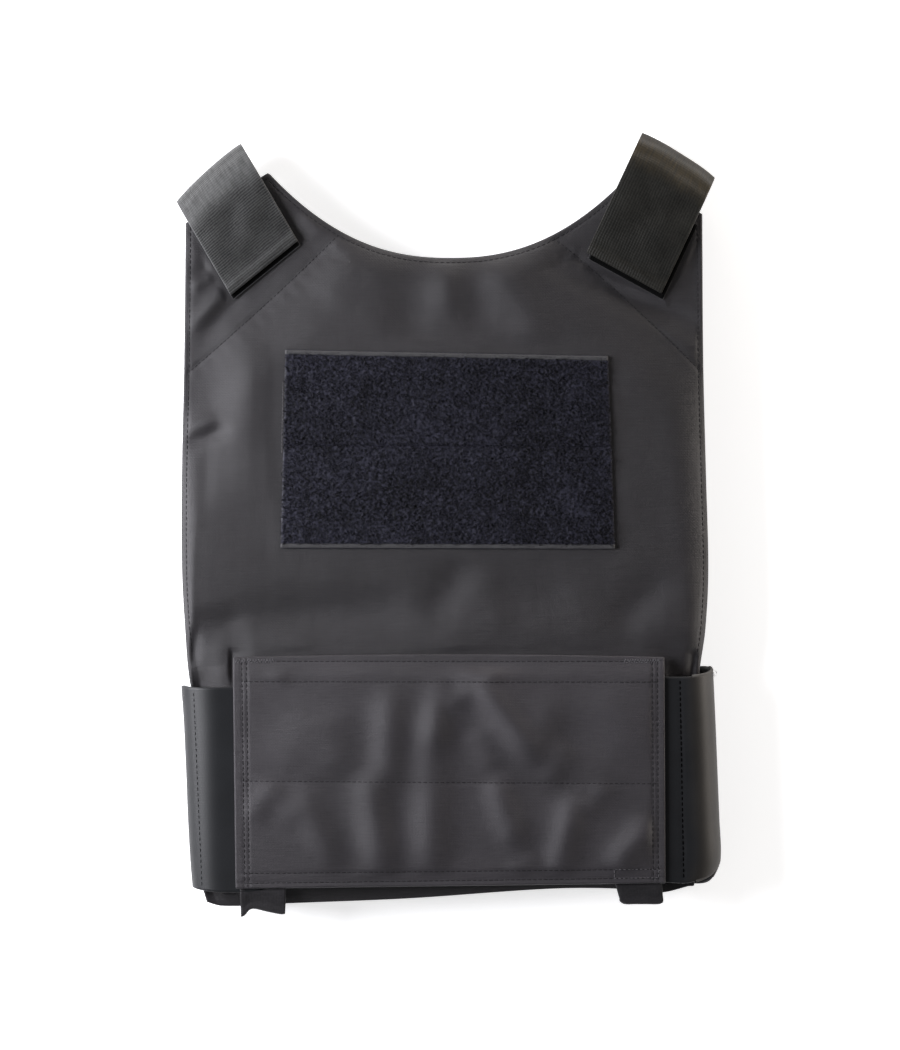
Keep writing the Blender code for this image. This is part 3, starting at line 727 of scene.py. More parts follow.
def add_piece(name, points, quads, finish, uv=None, caps=()):
    """Make a mesh object from points in millimetres on the vest."""
    points = np.asarray(points, float).reshape(-1, 3)
    world = (points + np.array([SHIFT_X, SHIFT_Y, 0.0])) * MM
    mesh = bpy.data.meshes.new(name)
    faces = [tuple(quad) for quad in np.asarray(quads).tolist()]
    faces += [tuple(int(i) for i in cap) for cap in caps]
    mesh.from_pydata(world.tolist(), [], faces)
    if uv is not None:
        layer = mesh.uv_layers.new(name="UVMap")
        corners = np.zeros(len(mesh.loops), np.int32)
        mesh.loops.foreach_get("vertex_index", corners)
        layer.data.foreach_set("uv", (uv.reshape(-1, 2)[corners] * MM).ravel())
    mesh.shade_smooth()
    mesh.update()
    mesh.materials.append(finish)
    piece = bpy.data.objects.new(name, mesh)
    bpy.context.collection.objects.link(piece)
    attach(piece, ROOT)
    return piece


def rim_rings(top_ring, low_ring, bulge, count):
    """Rounded edge between two rings of points."""
    tangent = np.roll(top_ring, -1, axis=0) - np.roll(top_ring, 1, axis=0)
    outward = np.cross(tangent, top_ring - low_ring)
    outward /= np.maximum(np.linalg.norm(outward, axis=1, keepdims=True), 1e-9)
    rings = []
    for i in range(1, count + 1):
        turn = math.pi * i / (count + 1)
        part = (1.0 - math.cos(turn)) / 2.0
        rings.append(mix(top_ring, low_ring, part) + outward * bulge * math.sin(turn))
    return rings


def quads_through(ring, start, count):
    """Quads from a ring of vertices through the rings numbered from the start, and the last ring."""
    quads = []
    for i in range(count):
        next_ring = start + i * len(ring) + np.arange(len(ring))
        quads.append(ring_quads(ring, next_ring))
        ring = next_ring
    return quads, ring


def closed_sheet(name, top, low, finish, uv, bulge=0.5, rounding=3):
    """Sheet between two grids of points (columns, rows, 3), with a rounded edge."""
    middle = (top.shape[0] // 2, top.shape[1] // 2)
    step_i = top[middle[0] + 1, middle[1]] - top[middle]
    step_j = top[middle[0], middle[1] + 1] - top[middle]
    if np.dot(np.cross(step_i, step_j), top[middle] - low[middle]) < 0.0:
        top = top[:, ::-1]
        low = low[:, ::-1]
        uv = uv[:, ::-1]
    columns, rows = top.shape[:2]
    count = columns * rows
    rim = rim_numbers(columns, rows)
    top_points = top.reshape(-1, 3)
    low_points = low.reshape(-1, 3)
    rings = rim_rings(top_points[rim], low_points[rim], bulge, rounding)
    points = np.concatenate([top_points, low_points] + rings)
    flat_uv = uv.reshape(-1, 2)
    all_uv = np.concatenate([flat_uv, flat_uv] + [flat_uv[rim]] * rounding)
    sides = [grid_quads(columns, rows, 0), grid_quads(columns, rows, count, flip=True)]
    edge, last_ring = quads_through(rim, 2 * count, rounding)
    quads = np.concatenate(sides + edge + [ring_quads(last_ring, rim + count)])
    return add_piece(name, points, quads, finish, all_uv)


def flat_backed(name, x, y, z, back_z, finish, bulge=0.5, rounding=4):
    """Pad with one shaped side and one flat side; the shaped side may face up or down."""
    top = as_points(x, y, z)
    if z.mean() < back_z:
        top = top[:, ::-1]
    columns, rows = x.shape
    rim = rim_numbers(columns, rows)
    top_points = top.reshape(-1, 3)
    back_ring = top_points[rim].copy()
    back_ring[:, 2] = back_z
    rings = rim_rings(top_points[rim], back_ring, bulge, rounding) + [back_ring]
    points = np.concatenate([top_points] + rings)
    edge, last_ring = quads_through(rim, columns * rows, len(rings))
    quads = np.concatenate([grid_quads(columns, rows, 0)] + edge)
    return add_piece(name, points, quads, finish, points[:, :2].copy(), caps=[last_ring[::-1]])


def make_front_panel(finish):
    """Front panel: cover and armour pad in one, with its folds and seam grooves."""
    hidden = np.linspace(0.0, 0.34, 24)
    shown = mix(0.34, 1.0, graded(250, 0.25))[1:]
    x, y = plan_grid(graded(236, 0.45), np.concatenate([hidden, shown]))
    piece = flat_backed("front_panel_cover", x, y, front_top_z(x, y), FRONT_INNER_Z, finish)
    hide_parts("front_panel")
    return piece


def make_back_panel(finish):
    x, y = plan_grid(graded(110, 0.5), graded(150, 0.5))
    piece = flat_backed("back_panel_cover", x, y, back_bottom_z(x, y), BACK_INNER_Z, finish)
    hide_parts("back_panel")
    return piece


def flap_low_y(x):
    """Lower edge of the flap."""
    return mix(*FLAP_BOTTOM_Y, (x - FLAP_LEFT_X[0]) / (FLAP_RIGHT_X[0] - FLAP_LEFT_X[0]))


def flap_plan(across, along):
    left = mix(*FLAP_LEFT_X, along)
    right = mix(*FLAP_RIGHT_X, along)
    x = mix(left, right, across)
    low = mix(*FLAP_BOTTOM_Y, across)
    high = FLAP_TOP_Y - FLAP_TOP_SAG * (2.0 * across - 1.0) ** 2
    return x, mix(low, high, along)


def flap_low_z(x, y):
    """Underside of the flap with its folds."""
    panel = CHEST_Z + GAP
    band = CHEST_Z + BAND_SEAT_GAP + BAND_THICKNESS + GAP
    seat = mix(band, panel, 0.45 * eased(y, -93.0, 13.0))
    beside = np.minimum(x - FLAP_LEFT_X[1], FLAP_RIGHT_X[1] - x)
    inside = np.minimum(beside, np.minimum(y - flap_low_y(x), FLAP_FOLDS_TOP_Y - y))
    folds = np.maximum(fold_height(x, y, FLAP_FOLDS), 0.0)
    return seat + (folds + ripple(x, y, *FLAP_SWELL) + 0.3) * eased(inside, 3.0, 8.0)


def flap_top_z(x, y):
    """Upper side of the flap, pressed in along its seams."""
    z = flap_low_z(x, y) + FLAP_THICKNESS
    across = (x - FLAP_LEFT_X[0]) / (FLAP_RIGHT_X[0] - FLAP_LEFT_X[0])
    along = (y - FLAP_BOTTOM_Y[0]) / (FLAP_TOP_Y - FLAP_BOTTOM_Y[0])
    for left, right, depth in FLAP_SEAMS_Y:
        z = z - groove(y - mix(left, right, across), depth, FLAP_SEAM_WIDTH)
    for low, high, depth in FLAP_SEAMS_X:
        z = z - groove(x - mix(low, high, along), depth, FLAP_SEAM_WIDTH)
    return z


def make_flap(finish):
    across, along = np.meshgrid(graded(FLAP_COLUMNS, 0.4), graded(FLAP_ROWS, 0.4), indexing="ij")
    x, y = flap_plan(across, along)
    top = as_points(x, y, flap_top_z(x, y))
    low = as_points(x, y, flap_low_z(x, y))
    piece = closed_sheet("front_flap_cloth", top, low, finish, top[..., :2].copy(), bulge=0.6)
    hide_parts("front_flap")
    return piece


def front_leg(bend_x, side):
    """Run of the band over the front panel: arrays of x and z, steps by heights."""
    part = (1.0 - np.arange(LEG_STEPS + 1) / LEG_STEPS)[:, None] ** 1.3
    x = mix(bend_x[None, :], side * BAND_FRONT_END, part)
    z = np.full_like(x, CHEST_Z + BAND_SEAT_GAP + BAND_THICKNESS / 2.0)
    return x, z


def band_bend(start_x, high_z, reach, side, squareness):
    """Squared half turn from the end of a front leg down to the floor."""
    low_z = BAND_THICKNESS / 2.0
    centre_z = (low_z + high_z) / 2.0
    rise = (high_z - low_z) / 2.0
    power = 2.0 / squareness
    turn = (math.pi * (0.5 - np.arange(1, BEND_STEPS) / BEND_STEPS))[:, None]
    x = start_x[None, :] + side * reach * np.abs(np.cos(turn)) ** power
    z = centre_z + rise * np.sign(np.sin(turn)) * np.abs(np.sin(turn)) ** power
    return x, z


def band_grid(y):
    """Middle surface of the band: x and z for each step round the girth and each height y."""
    half = BAND_THICKNESS / 2.0
    left_bend_x = band_left_x(y) + half + LEFT_BEND_REACH
    right_bend_x = band_right_x(y) - half - RIGHT_BEND_REACH
    left_leg = front_leg(left_bend_x, -1.0)
    left_bend = band_bend(left_bend_x, left_leg[1][-1], LEFT_BEND_REACH, -1.0, LEFT_BEND_SQUARENESS)
    right_leg = front_leg(right_bend_x, 1.0)
    right_bend = band_bend(right_bend_x, right_leg[1][-1], RIGHT_BEND_REACH, 1.0, RIGHT_BEND_SQUARENESS)
    part = (np.arange(REAR_STEPS + 1) / REAR_STEPS)[:, None]
    rear_x = mix(left_bend_x[None, :], right_bend_x[None, :], part)
    rear = (rear_x, np.full_like(rear_x, half))
    right_side = [(run[0][::-1], run[1][::-1]) for run in (right_bend, right_leg)]
    runs = [left_leg, left_bend, rear, *right_side]
    return np.concatenate([x for x, _ in runs]), np.concatenate([z for _, z in runs])


def band_swell(x, z):
    """Rise of the band's left side between the flap and the bend."""
    return BAND_SWELL * bell(x - BAND_SWELL_X, BAND_SWELL_WIDTH) * eased(z, 26.0, 6.0)


def band_groove(x, y, z):
    """Depth of the sewn lines on the band's sides."""
    depth = np.zeros_like(x)
    for top_x, low_x, top_y, low_y in BAND_SEAMS:
        away = x - mix(top_x, low_x, (y - top_y) / (low_y - top_y))
        depth += groove(away, *BAND_SEAM_GROOVE) * eased(z, 24.0, 3.0)
    return depth


def band_places():
    """Place of each step: 0 to 1 left leg, to 2 bend, to 3 rear, to 4 bend, to 5 right leg."""
    leg = np.arange(LEG_STEPS + 1) / LEG_STEPS
    bend = np.arange(1, BEND_STEPS) / BEND_STEPS
    rear = np.arange(REAR_STEPS + 1) / REAR_STEPS
    return np.concatenate([leg, 1.0 + bend, 2.0 + rear, 3.0 + bend, 4.0 + leg])


def band_middle(places):
    """Points of the band's middle surface, places by strips."""
    strips = graded(BAND_STRIPS, 0.3)
    y = mix(band_low_y(places)[:, None], band_high_y(places)[:, None], strips[None, :])
    x = np.zeros_like(y)
    z = np.zeros_like(y)
    for i in range(len(places)):
        row_x, row_z = band_grid(y[i])
        x[i] = row_x[i]
        z[i] = row_z[i]
    return as_points(x, y, z)


def make_band(finish, rim_finish):
    """Elastic band round the girth, its two ends under the flap."""
    places = band_places()
    middle = band_middle(places)
    x, y, z = middle[..., 0], middle[..., 1], middle[..., 2].copy()
    normal = np.cross(np.gradient(middle, axis=1), np.gradient(middle, axis=0))
    normal /= np.linalg.norm(normal, axis=2, keepdims=True)
    if normal[3, 3, 2] < 0.0:
        normal = -normal
    half = BAND_THICKNESS / 2.0
    girth = path_lengths(middle[:, 20])
    uv = np.stack(np.broadcast_arrays(girth[:, None], y), axis=-1)
    middle[..., 2] += band_swell(x, z)
    top = middle + normal * (half - band_groove(x, y, z))[..., None]
    piece = closed_sheet("side_band_elastic", top, middle - normal * half, finish, uv, bulge=0.4)
    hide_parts("side_band")
    rims = []
    for start, end, column in BAND_RIMS:
        at = np.linspace(start, end, 60)
        rims.append(np.stack([np.interp(at, places, middle[:, column, i]) for i in range(3)], axis=-1))
    points, quads = tube_bundle(np.array(rims), 8, BAND_RIM_RADIUS)
    rim = add_piece("side_band_binding", points, quads, rim_finish)
    return piece


def on_strip(low_edge, high_edge, across, along):
    """Places between two straight edges given by their ends, as x and y."""
    low = [mix(low_edge[0][i], low_edge[1][i], across) for i in (0, 1)]
    high = [mix(high_edge[0][i], high_edge[1][i], across) for i in (0, 1)]
    return mix(low[0], high[0], along), mix(low[1], high[1], along)


def strip_points(low_edge, high_edge, columns, rows):
    """Even grid between two straight edges."""
    across, along = np.meshgrid(np.linspace(0, 1, columns), np.linspace(0, 1, rows), indexing="ij")
    return on_strip(low_edge, high_edge, across, along)


def tube_bundle(centres, sides, radius):
    """Many thin open tubes: centres is (tubes, steps, 3). Returns points and quads."""
    tubes, steps = centres.shape[:2]
    tangent = np.gradient(centres, axis=1)
    tangent /= np.maximum(np.linalg.norm(tangent, axis=2, keepdims=True), 1e-9)
    helper = np.cross(tangent[:, :1], tangent[:, -1:] + np.array([0.0013, 0.0007, 0.0011]))
    helper = np.broadcast_to(helper, tangent.shape)
    side = helper / np.maximum(np.linalg.norm(helper, axis=2, keepdims=True), 1e-9)
    up = np.cross(side, tangent)
    rings = []
    for i in range(sides):
        turn = 2.0 * math.pi * i / sides
        rings.append(centres + radius * (math.cos(turn) * side + math.sin(turn) * up))
    points = np.stack(rings, axis=2)
    number = np.arange(tubes * steps * sides).reshape(tubes, steps, sides)
    near = number[:, :-1]
    far = number[:, 1:]
    quads = np.stack([near, np.roll(near, -1, axis=2), np.roll(far, -1, axis=2), far], axis=-1)
    return points.reshape(-1, 3), quads.reshape(-1, 4)


def tape_z(height):
    """Level at a height above the top of the loop tape's box."""
    return CHEST_Z + GAP + TAPE_THICKNESS + height


def make_pile(name, low_edge, high_edge, finish, seed):
    """Field of small curled loops standing on a tape."""
    rng = np.random.RandomState(seed)
    across = rng.uniform(-0.001, 1.001, PILE_LOOPS)
    along = rng.uniform(0.0, 1.0, PILE_LOOPS)
    x, y = on_strip(low_edge, high_edge, across[:, None], along[:, None])
    angle = rng.uniform(0.0, 2.0 * math.pi, PILE_LOOPS)[:, None]
    width = rng.uniform(0.30, 0.70, PILE_LOOPS)[:, None]
    height = rng.uniform(0.55, 1.25, PILE_LOOPS)[:, None]
    tilt = rng.uniform(-1.0, 1.0, PILE_LOOPS)[:, None]
    turn = np.linspace(-0.35, math.pi + 0.35, 5)[None, :]
    flat = width * np.cos(turn)
    lift = height * (0.35 + np.sin(turn))
    lean = tilt * lift * 0.8
    loop_x = x + flat * np.cos(angle) - lean * np.sin(angle)
    loop_y = y + flat * np.sin(angle) + lean * np.cos(angle)
    centres = as_points(loop_x, loop_y, tape_z(PILE_ROOT) + lift)
    points, quads = tube_bundle(centres, 3, PILE_LOOP_RADIUS)
    return add_piece(name, points, quads, finish)


def make_pile_ground(name, low_edge, high_edge, finish):
    """Matted roots of the loops: a low lumpy layer that the loops stand on."""
    x, y = strip_points(low_edge, high_edge, 220, 64)
    rng = np.random.RandomState(5)
    base = tape_z(PILE_GROUND)
    z = base + rng.uniform(0.0, 0.6, x.shape)
    z[0] = z[-1] = base - 0.1
    z[:, 0] = z[:, -1] = base - 0.1
    return add_piece(name, as_points(x, y, z), grid_quads(*x.shape, 0), finish)


def inset_edge(edge, toward, amount):
    """Edge moved by an amount in millimetres towards another edge."""
    moved = []
    for (x, y), (other_x, other_y) in zip(edge, toward):
        length = math.hypot(other_x - x, other_y - y)
        moved.append((mix(x, other_x, amount / length), mix(y, other_y, amount / length)))
    return tuple(moved)


def make_selvage(name, outer_edge, inner_edge, finish):
    """Bare woven edge of a tape, beside its pile."""
    inner = inset_edge(outer_edge, inner_edge, SELVAGE + 0.3)
    outer = inset_edge(outer_edge, inner_edge, 0.2)
    x, y = strip_points(outer, inner, 160, 6)
    low_z = tape_z(SELVAGE_UNDERSIDE)
    rise = 0.35 + ripple(x, y, *SELVAGE_RIPPLE)
    rise[:, 0] = rise[:, -1] = 0.15
    top = as_points(x, y, low_z + rise)
    low = as_points(x, y, low_z)
    return closed_sheet(name, top, low, finish, top[..., :2].copy(), bulge=0.1, rounding=1)


def make_loop_tapes(base_finish, loop_finish, selvage_finish):
    """Two strips of loop tape, with bare selvage along the patch's top and bottom."""
    middle_low = tuple((x, y - GAP) for x, y in PATCH_MIDDLE)
    strips = (
        # place, outer edge with the selvage, inner edge
        ("upper", PATCH_TOP, PATCH_MIDDLE),
        ("lower", PATCH_BOTTOM, middle_low),
    )
    for seed, (place, outer_edge, inner_edge) in enumerate(strips):
        x, y = strip_points(outer_edge, inner_edge, 60, 20)
        x = mix(x.mean(), x, 0.994)
        top = as_points(x, y, tape_z(TAPE_BASE_TOP) + ripple(x, y, *TAPE_RIPPLE))
        low = as_points(x, y, CHEST_Z + GAP)
        name = "loop_tape_" + place
        tape = closed_sheet(name + "_base", top, low, base_finish, top[..., :2].copy(), bulge=0.2)
        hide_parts(name)
        pile_edge = inset_edge(outer_edge, inner_edge, SELVAGE)
        pieces = [
            make_pile_ground("loop_ground_" + place, pile_edge, inner_edge, loop_finish),
            make_pile("loop_pile_" + place, pile_edge, inner_edge, loop_finish, 30 + seed),
            make_selvage("loop_selvage_" + place, outer_edge, inner_edge, selvage_finish),
        ]


def strap_path(reach, straight):
    """Middle line of a strap, evenly sampled: run and z."""
    half = WEBBING_THICKNESS / 2.0
    high_z = SHOULDER_Z + GAP + PAD_THICKNESS + GAP + half
    centre_z = (high_z + half) / 2.0
    rise = (high_z - half) / 2.0
    bulge = reach - half - straight
    front = np.stack([np.linspace(0.0, straight, 41), np.full(41, high_z)], axis=-1)
    turn = math.pi * (0.5 - np.arange(1, 48) / 48.0)
    fold = np.stack([straight + bulge * np.cos(turn), centre_z + rise * np.sin(turn)], axis=-1)
    rear = np.stack([straight - np.linspace(0.0, STRAP_REAR_LENGTH, 31), np.full(31, half)], axis=-1)
    return np.concatenate([front, fold, rear])


def on_shoulder(run, across, z, strap):
    """Positions given along and across a strap."""
    turn = math.radians(strap.lean)
    x = strap.end_x - run * math.sin(turn) + across * math.cos(turn)
    y = strap.end_y + run * math.cos(turn) + across * math.sin(turn)
    return as_points(x, y, z)


def skewed(run, across, strap):
    """Run moved so that a strap's end and fold lie aslant, with the fold's edge a little bowed."""
    place = across / (STRAP_WIDTH / 2.0)
    toward_fold = np.clip(run / strap.reach, 0.0, 1.0)
    slant = mix(strap.end_skew, strap.fold_skew, toward_fold) * place
    return run + slant + STRAP_FOLD_BOW * toward_fold**2 * (1.0 - place**2)


def strap_wave(across, run, side):
    """Height of a strap's waves, with their crests a little bowed and uneven."""
    bow = ripple(across, run, *STRAP_BOW)
    fade = 1.0 + ripple(across, run, *STRAP_FADE)
    height = np.zeros_like(run)
    for place, width, rise in STRAP_WAVES[side]:
        height = height + rise * bell(run - place - bow, width) * fade
    return height * ease(run / 4.0)


def make_strap(strap, finish):
    """Webbing strap over the shoulder, waved along its length and turned down at its two edges."""
    path = strap_path(strap.reach, strap.straight)
    normal = path_normals(path)
    length = path_lengths(path)
    across = (STRAP_WIDTH / 2.0) * (2.0 * graded(60, 0.3) - 1.0)
    run_grid, across_grid = np.meshgrid(length, across, indexing="ij")
    wave_height = strap_wave(across_grid, run_grid, strap.side)
    cup = STRAP_CUP * np.abs(across_grid / (STRAP_WIDTH / 2.0)) ** 5
    half = WEBBING_THICKNESS / 2.0
    sides = []
    for offset in (half + wave_height - cup, -half + np.maximum(wave_height, -0.1)):
        run = path[:, :1] + normal[:, :1] * offset
        z = path[:, 1:] + normal[:, 1:] * offset
        sides.append(on_shoulder(skewed(run, across_grid, strap), across_grid, z, strap))
    uv = np.stack([across_grid, run_grid], axis=-1)
    piece = closed_sheet("strap_webbing_" + strap.side, *sides, finish, uv, bulge=0.3)
    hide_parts("shoulder_strap_" + strap.side)
    return piece


def make_strap_pad(strap, finish, edge_finish):
    """Dark hook pad under a strap's end, darkened to near black as painted shade for the gap under the
    strap, with a paler cut edge that is partly a painted highlight of its lit rim.
    """
    low_z = SHOULDER_Z + GAP
    run, across = np.meshgrid(
        np.linspace(-PAD_OVERHANG, PAD_LENGTH, 50),
        strap.pad_shift + np.linspace(-STRAP_WIDTH / 2.0, STRAP_WIDTH / 2.0, 40),
        indexing="ij",
    )
    slanted = run + strap.end_skew * across / (STRAP_WIDTH / 2.0)
    top_z = low_z + PAD_THICKNESS - 0.5 * ease((4.0 - run - PAD_OVERHANG) / 5.0)
    top = on_shoulder(slanted, across, top_z, strap)
    low = on_shoulder(slanted, across, low_z, strap)
    uv = np.stack([across, run], axis=-1)
    piece = closed_sheet("hook_pad_" + strap.side, top, low, finish, uv, bulge=0.25)
    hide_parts("strap_pad_" + strap.side)
    rim = mix(top, low, 0.5)
    edge_line = np.concatenate([rim[14:0:-1, 0], rim[0], rim[1:14, -1]])
    outward = on_shoulder(-0.45, 0.0, 0.25, strap) - on_shoulder(0.0, 0.0, 0.0, strap)
    points, quads = tube_bundle((edge_line + outward)[None, :, :], 6, HOOK_EDGE_RADIUS)
    edge = add_piece("hook_edge_" + strap.side, points, quads, edge_finish)
    return piece


def tab_path():
    """Middle line of a folded tab: part of its reach, distance past it, and z."""
    high_z = CHEST_Z + BAND_SEAT_GAP + BAND_THICKNESS - TAB_WEBBING_THICKNESS / 2.0
    turn_radius = (TAB_WEBBING_THICKNESS + TAB_SLIT) / 2.0
    part = np.linspace(0.0, 1.0, 26)
    upper_z = high_z - TAB_DROP * eased(part, 0.12, 0.7)
    turn = math.pi * np.arange(1, 9) / 9.0
    fold_z = high_z - TAB_DROP - turn_radius + turn_radius * np.cos(turn)
    parts = np.concatenate([part, np.ones(8), part[::-1]])
    past = np.concatenate([np.zeros(26), turn_radius * np.sin(turn), np.zeros(26)])
    return parts, past, np.concatenate([upper_z, fold_z, upper_z[::-1] - 2.0 * turn_radius])


def make_pull_tab(tab, finish):
    """Webbing folded into a tab at a lower corner of the flap."""
    parts, past, z = tab_path()
    line = np.stack([parts * TAB_MEAN_REACH + past, z], axis=-1)
    offset = path_normals(line) * TAB_WEBBING_THICKNESS / 2.0
    across = np.linspace(0.0, 1.0, 30)[None, :]
    left = mix(tab.top_left, tab.low_left, parts)[:, None]
    right = mix(tab.top_right, tab.low_right, parts)[:, None]
    x = mix(left, right, across)
    ends = smooth_curve(TAB_ENDS, tab.end_column)(across[0])[None, :]
    fold_y = ends + TAB_WEBBING_THICKNESS + TAB_SLIT / 2.0
    y = mix(flap_low_y(x) - GAP, fold_y, parts[:, None]) - past[:, None]
    middle = as_points(x, y, z[:, None])
    outward = as_points(0.0, -offset[:, :1], offset[:, 1:])
    length = path_lengths(line)
    width = tab.top_right - tab.top_left
    uv = np.stack(np.broadcast_arrays(across * width, length[:, None]), axis=-1)
    name = "tab_webbing_" + tab.side
    piece = closed_sheet(name, middle + outward, middle - outward, finish, uv, bulge=0.2)
    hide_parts("pull_tab_" + tab.side)
    return piece


def spaced(points, pitch):
    """Points every pitch along a polyline, with directions."""
    points = np.asarray(points, float)
    lengths = path_lengths(points)
    count = max(int(lengths[-1] / pitch), 1)
    at = (np.arange(count) + 0.5) * lengths[-1] / count

    def place(where):
        columns = [np.interp(where, lengths, column) for column in points.T]
        return np.stack(columns, axis=-1)

    direction = place(at + 0.5) - place(at - 0.5)
    return place(at), direction / np.maximum(np.linalg.norm(direction, axis=1, keepdims=True), 1e-9)


def stitches_along(place, direction, length, bow):
    """Centre lines of stitches at places on a surface, each bowed out of it and sunk at its ends."""
    rows = [place + direction * part * length + np.array([0.0, 0.0, lift]) for part, lift in bow]
    return np.stack(rows, axis=1)


def stitches_on(height, line, pitch=STITCH_PITCH, length=STITCH_LENGTH):
    """Stitches along a plan line, on a surface given by its height function."""
    place, direction = spaced(np.asarray(line, float)[:, :2], pitch)
    x, y = place.T
    on_surface = as_points(x, y, height(x, y))
    return stitches_along(on_surface, as_points(*direction.T, 0.0), length, SEWN_STITCH)


def level(z):
    """Height function of a level surface."""
    return lambda x, y: np.full_like(x, z)


def make_stitches(name, runs, finish, radius=THREAD_RADIUS):
    points, quads = tube_bundle(np.concatenate(runs), 5, radius)
    piece = add_piece(name, points, quads, finish)
    return piece


def outline_line(inset):
    """Plan line round the shown part of a panel's outline, at an inset from it."""
    y_side = np.linspace(-78.0, 182.0, 160)
    left = np.stack([left_x(y_side) + inset, y_side], axis=-1)
    right = np.stack([right_x(y_side) - inset, y_side], axis=-1)[::-1]
    x_top = np.linspace(LEFT_TAB_CORNER[0] + inset, RIGHT_TAB_CORNER[0] - inset, 300)
    slope = neck_y(x_top + 0.5) - neck_y(x_top - 0.5)
    top = np.stack([x_top, neck_y(x_top) - inset * np.sqrt(1.0 + slope**2)], axis=-1)
    return left, top, right


def seam_line(seam):
    """Plan line of a pocket seam, bowed by its sag."""
    neck_x, neck_seam_y, arm_x, arm_y, sag = seam
    _, run_x, run_y = seam_run(seam)
    part = np.linspace(0.01, 0.99, 60)
    side = 1.0 if neck_x < 0.0 else -1.0
    bow = sag * 4.0 * part * (1.0 - part) * side
    x = mix(neck_x, arm_x, part) - run_y * bow
    y = mix(neck_seam_y, arm_y, part) + run_x * bow
    return np.stack([x, y], axis=-1)


def make_panel_stitching(finish):
    runs = [stitches_on(front_top_z, line) for line in outline_line(HEM_STITCH_INSET)]
    runs += [stitches_on(front_top_z, seam_line(seam), 2.9, 2.2) for seam in POCKET_SEAMS]
    make_stitches("panel_stitching", runs, finish)


def zigzag(start, end, width, turns):
    """Plan line of a bar-tack."""
    part = np.linspace(0.0, 1.0, 2 * turns + 1)
    x = mix(start[0], end[0], part)
    y = mix(start[1], end[1], part) + width * (np.arange(2 * turns + 1) % 2 - 0.5)
    return np.stack([x, y], axis=-1)


def make_flap_stitching(row_finish, tack_finish):
    """Rows of stitches and bar-tacks on the flap."""
    lines = [((-126.0, left), (126.0, right)) for left, right, _ in FLAP_SEAMS_Y]
    lines += [((low, -217.0), (high, -83.0)) for low, high, _ in FLAP_SEAMS_X]
    runs = [stitches_on(flap_top_z, line) for line in lines]
    make_stitches("flap_stitching", runs, row_finish)
    runs = [stitches_on(flap_top_z, zigzag(start, end, 1.8, 14), 1.1, 1.3) for start, end in FLAP_TACKS]
    runs.append(stitches_on(flap_top_z, FLAP_BOX_TACK, 2.4, 1.9))
    make_stitches("flap_tacks", runs, tack_finish)


def make_patch_stitching(finish, edge_finish):
    """Stitches round the two tapes, half sunk in the pile, and loose pale ones up the left side."""
    edges = (PATCH_TOP, PATCH_BOTTOM)
    lines = [inset_edge(edge, PATCH_MIDDLE, 1.2) for edge in edges]
    runs = [stitches_on(level(tape_z(PATCH_STITCH)), line, 2.8, 2.1) for line in lines]
    make_stitches("patch_stitching", runs, finish)
    runs = [stitches_on(level(tape_z(EDGE_THREAD)), PATCH_EDGE_THREAD, 2.1, 1.7)]
    make_stitches("patch_edge_thread", runs, edge_finish, 0.2)


def band_surface_line(seam):
    """Points on the outside of the band down a sewn line."""
    top_x, low_x, top_y, low_y = seam
    y = np.linspace(top_y - 1.0, low_y + 1.5, 90)
    x, z = band_grid(y)
    z = z + band_swell(x, z)
    points = []
    for j in range(len(y)):
        want_x = mix(top_x, low_x, (y[j] - top_y) / (low_y - top_y))
        upper = z[:, j] > 20.0
        order = np.argsort(x[upper, j])
        at_z = np.interp(want_x, x[upper, j][order], z[upper, j][order])
        points.append((want_x, y[j], at_z + BAND_THICKNESS / 2.0 - 0.35))
    return np.array(points)


def make_band_stitching(finish):
    runs = []
    for seam in BAND_SEAMS:
        place, direction = spaced(band_surface_line(seam), STITCH_PITCH)
        runs.append(stitches_along(place, direction, STITCH_LENGTH, BAND_STITCH))
    make_stitches("band_stitching", runs, finish, 0.34)


def make_loose_threads(name, finish):
    """Short frayed ends at the band's corners, and a pale hair on the right strap."""
    rng = np.random.RandomState(11)
    part = np.linspace(0.0, 1.0, 7)[:, None]
    lines = []
    for x, y, z, count, spread, longest in LOOSE_THREADS:
        for _ in range(count):
            start = np.array([x, y, z]) + rng.uniform(-spread, spread, 3) * (0.4, 1.0, 0.3)
            run = rng.normal(0.0, 1.0, 3)
            run = run / np.linalg.norm(run) * longest * rng.uniform(0.4, 1.0)
            curl = rng.normal(0.0, 0.25, 3) * longest
            lines.append(start + run * part + curl * part * (1.0 - part))
    top_z = SHOULDER_Z + GAP + PAD_THICKNESS + GAP + WEBBING_THICKNESS
    hair = np.array([*HAIR_START, top_z + 0.9]) + np.array(HAIR_RUN) * part
    lines.append(hair + np.array(HAIR_BOW) * part * (1.0 - part))
    points, quads = tube_bundle(np.array(lines), 4, LOOSE_THREAD_RADIUS)
    piece = add_piece(name, points, quads, finish)


def make_strap_stitching(finish):
    """Hem stitches across each strap's end."""
    top_z = SHOULDER_Z + GAP + PAD_THICKNESS + GAP + WEBBING_THICKNESS
    across = np.linspace(-23.0, 23.0, 20)
    runs = []
    for strap in STRAPS:
        for run in STRAP_HEM_RUNS:
            line = on_shoulder(skewed(run, across, strap), across, top_z, strap)
            runs.append(stitches_on(level(top_z - 0.1), line[:, :2], 3.0, 2.2))
    make_stitches("strap_stitching", runs, finish, 0.22)


def colour_between(tree, factor, dark, light):
    """Colour ramp between two colours."""
    ramp = tree.nodes.new("ShaderNodeValToRGB")
    ramp.color_ramp.elements[0].color = (*dark, 1.0)
    ramp.color_ramp.elements[1].color = (*light, 1.0)
    tree.links.new(factor, ramp.inputs["Fac"])
    return ramp.outputs["Color"]


